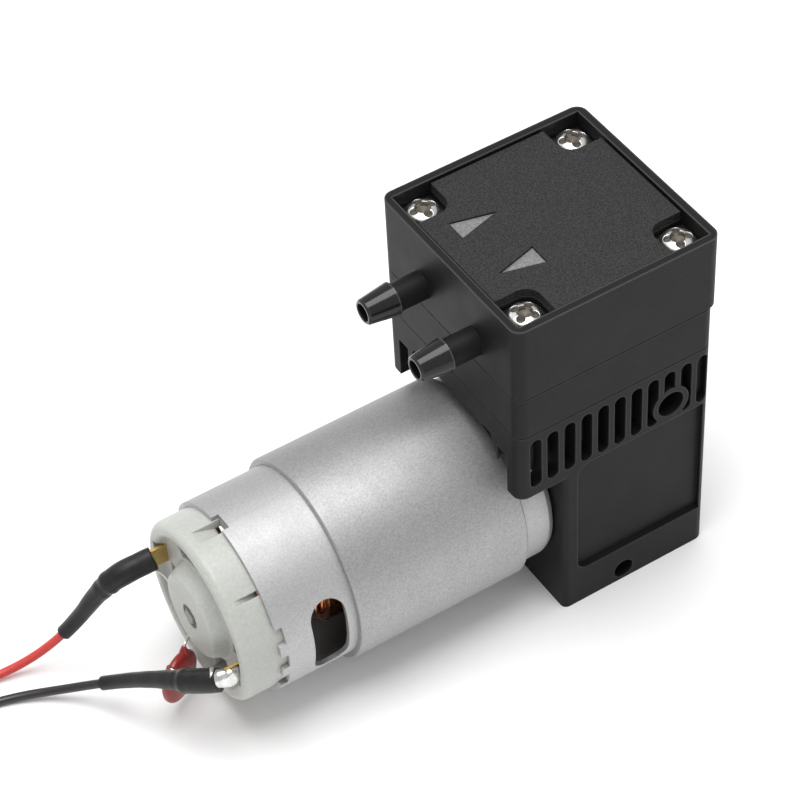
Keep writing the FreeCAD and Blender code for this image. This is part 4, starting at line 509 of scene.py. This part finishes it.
def add_sleeves():
    """Both leads' sleeves, of a dull black shrink tube."""
    made = finish("shrink_sleeve", (0.006, 0.006, 0.006), (0.012, 0.012, 0.012), 0.42,
                  grain=1.5 * MM, bump=0.015 * MM, Specular_IOR_Level=0.35)
    grids = [sleeve_grid(red_line, *RED_SLEEVE), sleeve_grid(black_line, *BLACK_SLEEVE)]
    thing = many_grids("shrink_sleeves", grids, made, "pump")
    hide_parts("heat_shrink_sleeves")


add_sleeves()


# Solder

SOLDER_CENTRE = (-74.1, -13.3, 18.5)
SOLDER_SIZE = (2.75, 0.9, 2.0)
SOLDER_SEED, SOLDER_LUMP = 1.3, 0.12
SOLDER_ROWS, SOLDER_COLUMNS = 48, 72
# The neck of solder from the sleeve's mouth to the lump
NECK_MOUTH = np.array([-77.4, -11.7, 18.6])
NECK_LUMP = np.array([-75.0, -13.1, 18.6])
NECK_WIDE, WIDE_LOSS = 2.05, 0.2
NECK_THICK, THICK_LOSS = 1.85, 0.9
NECK_SWELL, SWELL_TURN = 0.05, 9
NECK_ROWS, NECK_AROUND = 24, 40
# The bare strands: where the middle one starts, how far the outer ones are from it, how far each
# second one stands back, and how much nearer they end
STRANDS, STRAND_RADIUS, STRAND_ROWS, STRAND_AROUND = 6, 0.16, 12, 10
STRAND_START = (-74.4, -13.5, 18.8)
STRAND_REACH, STRAND_BACK, STRAND_NEARER = 0.5, 0.15, 0.5
STRAND_ARCH, ARCH_SPREAD = 0.15, 0.12


def lumpy_ball(centre, size, seed, lump, rows, columns):
    """An ellipsoid whose radius swells and sinks by a few slow waves, which die at its poles."""
    phi = np.linspace(0, np.pi, rows)[:, None]
    theta = round_about(columns)[None, :]
    waves = np.sin(phi) * (np.sin(3 * theta + seed) + np.sin(4 * phi + 2 * seed) * np.cos(2 * theta))
    waves = waves + 0.6 * np.sin(5 * theta - 2 * seed) * np.sin(3 * phi)
    radius = 1 + lump * waves / 2
    unit = np.stack([np.sin(phi) * np.cos(theta), np.sin(phi) * np.sin(theta),
                     np.cos(phi) + 0 * theta], axis=-1)
    return np.asarray(centre) + unit * radius[..., None] * np.asarray(size)


def add_solder():
    """A lump of solder on the lower terminal, its neck up to the sleeve's mouth, which narrows
    towards the lump with a slow swell, and bare strands, which arch from the lump into the lead."""
    made = finish("solder", (0.6, 0.6, 0.59), (0.8, 0.8, 0.78), 0.24, metal=1.0, grain=1.3 * MM,
                  bump=0.1 * MM, patch=1.5 * MM)
    lump = lumpy_ball(SOLDER_CENTRE, SOLDER_SIZE, SOLDER_SEED, SOLDER_LUMP, SOLDER_ROWS, SOLDER_COLUMNS)
    t = np.linspace(0, 1, NECK_ROWS)
    swell = 1 + NECK_SWELL * np.sin(SWELL_TURN * t)
    neck = tube_grid(NECK_MOUTH + t[:, None] * (NECK_LUMP - NECK_MOUTH),
                     (NECK_WIDE - WIDE_LOSS * t) * swell, (NECK_THICK - THICK_LOSS * t ** 2) * swell,
                     NECK_AROUND)
    grids = [lump, neck]
    t = np.linspace(0, 1, STRAND_ROWS)[:, None]
    x, y, z = STRAND_START
    for k, shift in enumerate(np.linspace(-STRAND_REACH, STRAND_REACH, STRANDS)):
        start = np.array([x, y + STRAND_BACK * (k % 2), z + shift])
        end = np.array(BLACK_ROUTE[0]) + [0, 0, STRAND_NEARER * shift]
        line = (1 - t) * start + t * end
        line = line + np.sin(t * np.pi) * np.array([0, -STRAND_ARCH, ARCH_SPREAD * shift])
        grids.append(wire_grid(line, STRAND_RADIUS, STRAND_AROUND))
    thing = many_grids("solder_lump", grids, made, "pump")
    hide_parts("solder_joint")


add_solder()


# Disc capacitor and its legs

DISC_TURN = math.radians(-60.8)
DISC_RADIUS = 4.95
DISC_ROWS, DISC_COLUMNS = 60, 96
EDGE_FULLNESS, FACE_FULLNESS = 0.55, 0.8
OUTLINE_WAVE, OUTLINE_SHIFT = 0.012, 0.7
# The skirts of the dip: how far across and how high, half widths, and how each changes up the leg
SKIRT_START = (2.3, 4.0, 0.95, 0.8)
SKIRT_CHANGE = (0.2, 1.5, -0.6, -0.45)
SKIRT_ROWS, SKIRT_AROUND = 14, 20
LEG_APART, LEG_TOP = 2.45, 5.0
LEG_RADIUS, LEG_STEPS, LEG_AROUND = 0.28, 12, 14
LEG_HINT = (1.0, 0.15, 0.0)
# For each leg: how it leaves the disc in x and y, at what height, and its way on to the terminal
LEG_WAYS = [
    (0.3, 0.1, 13.3, [(-73.6, 3.2, 12.4), (-72.2, 6.0, 12.4), (-72.1, 9.0, 13.2), (-72.1, 11.0, 15.4),
                      (-72.4, 11.75, 18.0), (-73.4, 12.0, 20.6), (-74.4, 12.05, 21.9),
                      (-75.1, 11.9, 22.6)]),
    (0.3, -0.9, 12.4, [(-77.9, -4.4, 10.9), (-75.2, -8.0, 11.2), (-73.6, -10.2, 13.0),
                       (-73.0, -11.4, 15.4), (-73.6, -11.8, 17.0), (-74.2, -11.85, 17.8)]),
]


def disc_places(across, height):
    """Points in the turned disc's own plane: how far across from its middle, and how high."""
    low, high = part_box("capacitor_disc")
    centre = np.array((low + high) / 2) / MM
    side = np.array([-math.sin(DISC_TURN), math.cos(DISC_TURN), 0.0])
    return centre + np.multiply.outer(across, side) + np.multiply.outer(height, np.array(UP))


def add_capacitor():
    """A dipped disc: its radius times a power of the sine and half its thickness times a power of
    the cosine make a lens with full edges. A skirt of the dip narrows up each leg."""
    made = finish("red_dip", (0.23, 0.014, 0.011), (0.3, 0.02, 0.016), 0.34, grain=1.6 * MM,
                  bump=0.02 * MM, patch=3 * MM, Coat_Weight=0.3)
    low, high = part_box("capacitor_disc")
    half = (high.x - low.x) / 2 / MM
    phi = np.linspace(0, np.pi, DISC_ROWS)[:, None]
    theta = round_about(DISC_COLUMNS)[None, :]
    out = DISC_RADIUS * np.sin(phi) ** EDGE_FULLNESS
    thick = half * np.sign(np.cos(phi)) * np.abs(np.cos(phi)) ** FACE_FULLNESS + 0 * theta
    wave = 1 + OUTLINE_WAVE * np.sin(3 * theta + OUTLINE_SHIFT) * np.sin(phi)
    facing = np.array([math.cos(DISC_TURN), math.sin(DISC_TURN), 0.0])
    lens = disc_places(out * np.cos(theta) * wave, out * np.sin(theta) * wave)
    grids = [lens + thick[..., None] * facing]
    t = np.linspace(0, 1, SKIRT_ROWS)
    across, height, wide, thick = (a + b * t for a, b in zip(SKIRT_START, SKIRT_CHANGE))
    for way in (-1, 1):
        line = disc_places(way * across, height)
        grids.append(tube_grid(line, wide, thick, SKIRT_AROUND, facing))
    thing = many_grids("dipped_disc", grids, made, "pump")
    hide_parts("capacitor_disc")


def add_capacitor_legs():
    """Two wires from the disc into the end bell's dish, round its hub and out to the terminals."""
    feet = disc_places(np.array([LEG_APART, -LEG_APART]), np.array([LEG_TOP, LEG_TOP]))
    grids = []
    for foot, (over_x, over_y, height, way_on) in zip(feet, LEG_WAYS):
        points = [tuple(foot), (foot[0] + over_x, foot[1] + over_y, height)] + way_on
        guide = smooth_curve("leg", points, LEG_STEPS)
        grids.append(wire_grid(points_of(guide), LEG_RADIUS, LEG_AROUND, LEG_HINT))
        bpy.data.objects.remove(guide)
    thing = many_grids("capacitor_wires", grids, FINISHES["capacitor_legs"], "pump")
    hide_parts("capacitor_legs")


add_capacitor()
add_capacitor_legs()


# Windings

# For each end of the armature's core: where it is, which way its coils stand out, and how far
ARMATURE_ENDS = ((-47.3, -1, 8.6), (-18.7, 1, 4.2))
POLES, TURNS, LAYERS = 5, 15, 5
FIRST_LAYER, LAYER_STEP, ARCH_RISE = 5.0, 1.05, 1.3
# A turn's span in degrees, how far it stands out at its ends, and the shares and steps of its arch
TURN_SPAN, SPAN_STEP = 66, 7
STAND_OFF, ARCH_SHARE, SHARE_STEP, LAYER_OUT = 0.3, 0.55, 0.15, 0.25
WINDING_RADIUS, WINDING_ROWS, WINDING_AROUND = 0.42, 26, 10
WINDING_HINT = (1.0, 0.2, 0.1)
ARCH_FULLNESS = 0.55


def add_windings():
    """Coils of enamelled wire over the ends of the armature's five poles. Each turn spans an angle
    and stands out from the core by an arch, which is a power of the sine along it."""
    grids = []
    t = np.linspace(0, 1, WINDING_ROWS)
    arch = np.sin(np.pi * t) ** ARCH_FULLNESS
    for end, way, reach in ARMATURE_ENDS:
        for pole in range(POLES):
            for k in range(TURNS):
                layer, place = k % LAYERS, k // LAYERS
                middle = math.radians(360 / POLES * (pole + 0.5))
                angle = middle + np.radians(TURN_SPAN - SPAN_STEP * place) * (t - 0.5)
                radius = FIRST_LAYER + LAYER_STEP * layer + ARCH_RISE * arch
                height = reach * (ARCH_SHARE + SHARE_STEP * place) + LAYER_OUT * layer
                along = end + way * (STAND_OFF + arch * height)
                line = np.stack([along, radius * np.cos(angle),
                                 MOTOR_AXIS_HEIGHT + radius * np.sin(angle)], axis=1)
                grids.append(wire_grid(line, WINDING_RADIUS, WINDING_AROUND, WINDING_HINT))
    thing = many_grids("winding_coils", grids, FINISHES["armature_windings"], "rotor")


add_windings()


# Cover screws

SCREW_HEAD_RADIUS, SCREW_HEAD_HEIGHT = 3.1, 2.2
CAD_HEAD_RADIUS = 3.0
# Rows of a head's grid: up to its shoulder, and from there to its rim, where they lie closer
SHOULDER, SHOULDER_NEXT = 2.75, 2.77
TOP_ROWS, RIM_ROWS, HEAD_COLUMNS = 80, 22, 160
# The dome as shares of the head's height: its upright rim, its rise, and how flat and how round it is
DOME_RIM, DOME_RISE, DOME_FLATNESS, DOME_ROUNDNESS = 0.42, 0.58, 3.4, 0.6
# The recess: a round middle with four round-ended arms, its soft edge, its depth and its point
CROSS_RADIUS, ARM_REACH, ARM_RADIUS = 1.45, 1.75, 0.78
RECESS_EDGE, RECESS_DEPTH = 0.22, 0.75
POINT_RADIUS, POINT_DEPTH = 1.7, 0.6
# The painted shade in the recess: its colour, and how much duller the recess is
PAINTED_RECESS_SHADE, RECESS_DULLER = (0.13, 0.118, 0.1), 0.35
# The washer's section: radius and height
WASHER_SECTION = np.array([(2.0, 0.42), (3.28, 0.42), (3.4, 0.36), (3.45, 0.22), (3.43, 0.0)])
WASHER_COLUMNS = 96
# Each corner's screw, by the signs of its x and y, and how far it is turned in degrees
SCREW_TURNS = {(-1, 1): 0, (1, -1): 68, (1, 1): 80, (-1, -1): 35}


def screw_head(centre, turn):
    """A pan head with a cross recess of wide arms, as its height over a grid of radius and angle: a
    dome that is one less a power of the radius, less the recess, which is the nearest of a circle
    and four arms. Also gives how far into the recess each point lies, from 0 to 1."""
    r = np.concatenate([np.linspace(0, SHOULDER, TOP_ROWS),
                        np.linspace(SHOULDER_NEXT, SCREW_HEAD_RADIUS, RIM_ROWS)])[:, None]
    theta = round_about(HEAD_COLUMNS)[None, :]
    x, y = r * np.cos(theta), r * np.sin(theta)
    rise = (1 - (r / SCREW_HEAD_RADIUS) ** DOME_FLATNESS) ** DOME_ROUNDNESS
    dome = SCREW_HEAD_HEIGHT * (DOME_RIM + DOME_RISE * rise)
    outside = r - CROSS_RADIUS + 0 * theta
    for arm in turn + np.radians([0, 90, 180, 270]):
        away = np.hypot(x - ARM_REACH * np.cos(arm), y - ARM_REACH * np.sin(arm)) - ARM_RADIUS
        outside = np.minimum(outside, away)
    inside = np.clip(-outside / RECESS_EDGE, 0, 1)
    inside = inside * inside * (3 - 2 * inside)
    height = dome - inside * (RECESS_DEPTH + POINT_DEPTH * np.clip(1 - r / POINT_RADIUS, 0, 1))
    top = np.stack([x, y, height], axis=-1)
    skirt = top[-1:].copy()
    skirt[..., 2] = 0.0
    return np.concatenate([top, skirt]) + np.asarray(centre), np.concatenate([inside, inside[-1:]])


def washer(centre):
    """The flange under a screw's head, a little wider than it, by its section turned round."""
    theta = round_about(WASHER_COLUMNS)
    ring = np.stack([np.cos(theta), np.sin(theta)], axis=-1)[None] * WASHER_SECTION[:, None, :1]
    height = np.broadcast_to(WASHER_SECTION[:, None, 1:], ring.shape[:2] + (1,))
    return np.concatenate([ring, height], axis=-1) + np.asarray(centre)


def screw_steel():
    """Bright plated steel, with painted shade darkening the inside of the recess, which is also duller.
    """
    made = finish("screw_steel", (0.66, 0.65, 0.63), (0.76, 0.75, 0.73), 0.3, metal=1.0,
                  grain=0.6 * MM, bump=0.001 * MM, patch=1.2 * MM, edge=0.05 * MM, spread=0.05)
    tree = made.node_tree
    # Painted shade: the base colour darkens by how far each point lies in the recess
    recess_shade = node(tree, "Attribute", attribute_name="recess").outputs["Fac"]
    feed(made, "Base Color", mixed(tree, recess_shade, source(made, "Base Color"), PAINTED_RECESS_SHADE))
    dull = node(tree, "Math", {0: recess_shade, 1: RECESS_DULLER, 2: source(made, "Roughness")},
                operation="MULTIPLY_ADD")
    feed(made, "Roughness", dull.outputs["Value"])
    return made


def add_cover_screws():
    """Pan heads with their washers in the corner pockets, each turned its own way."""
    low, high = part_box("cover_screws")
    seat = high.z / MM - SCREW_HEAD_HEIGHT
    x, y = high.x / MM - CAD_HEAD_RADIUS, high.y / MM - CAD_HEAD_RADIUS
    grids, recess = [], []
    for (sx, sy), degrees in SCREW_TURNS.items():
        head, inside = screw_head((sx * x, sy * y, seat), math.radians(degrees))
        rim = washer((sx * x, sy * y, seat))
        grids += [head, rim]
        recess += [inside.ravel(), np.zeros(rim.shape[0] * rim.shape[1])]
    thing = many_grids("screw_heads", grids, screw_steel(), "pump", np.concatenate(recess))
    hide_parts("cover_screws")


add_cover_screws()


# Floor and light

FLOOR_REACH = 3.0
FLOOR_COLOUR = (0.93, 0.93, 0.93, 1)
SKY_STRENGTH = 0.65
LAMP_TARGET = (-0.02, 0.0, 0.04)
# Each lamp's name, place, size and power in watts
LAMPS = [
    ("key", (-0.1, 0.02, 1.0), (0.7, 0.7), 9.5),
    ("far", (-0.3, 0.8, 0.6), (0.5, 0.3), 0.5),
]


def add_floor():
    """A dull, nearly white bench."""
    data = bpy.data.meshes.new("floor")
    corners = [(x * FLOOR_REACH, y * FLOOR_REACH, 0) for x, y in ((-1, -1), (1, -1), (1, 1), (-1, 1))]
    data.from_pydata(corners, [], [(0, 1, 2, 3)])
    thing = bpy.data.objects.new("floor", data)
    SCENE.collection.objects.link(thing)
    made = bpy.data.materials.new("floor")
    made.use_nodes = True
    shader = shader_of(made)
    shader.inputs["Base Color"].default_value = FLOOR_COLOUR
    shader.inputs["Roughness"].default_value = 0.9
    shader.inputs["Specular IOR Level"].default_value = 0.2
    data.materials.append(made)


def add_sky():
    """An even white all round."""
    world = bpy.data.worlds.new("world")
    SCENE.world = world
    world.use_nodes = True
    background = world.node_tree.nodes["Background"]
    background.inputs["Color"].default_value = (1, 1, 1, 1)
    background.inputs["Strength"].default_value = SKY_STRENGTH


def add_lamp(name, place, size, power):
    """A rectangular soft box at a place, turned to the pump."""
    data = bpy.data.lights.new(name, "AREA")
    data.shape = "RECTANGLE"
    data.size, data.size_y = size
    data.energy = power
    thing = bpy.data.objects.new(name, data)
    place, target = Vector(place), Vector(LAMP_TARGET)
    thing.location = place
    thing.rotation_euler = (target - place).to_track_quat("-Z", "Y").to_euler()
    SCENE.collection.objects.link(thing)


add_floor()
add_sky()
for lamp in LAMPS:
    add_lamp(*lamp)
SCENE.view_settings.view_transform = "Standard"
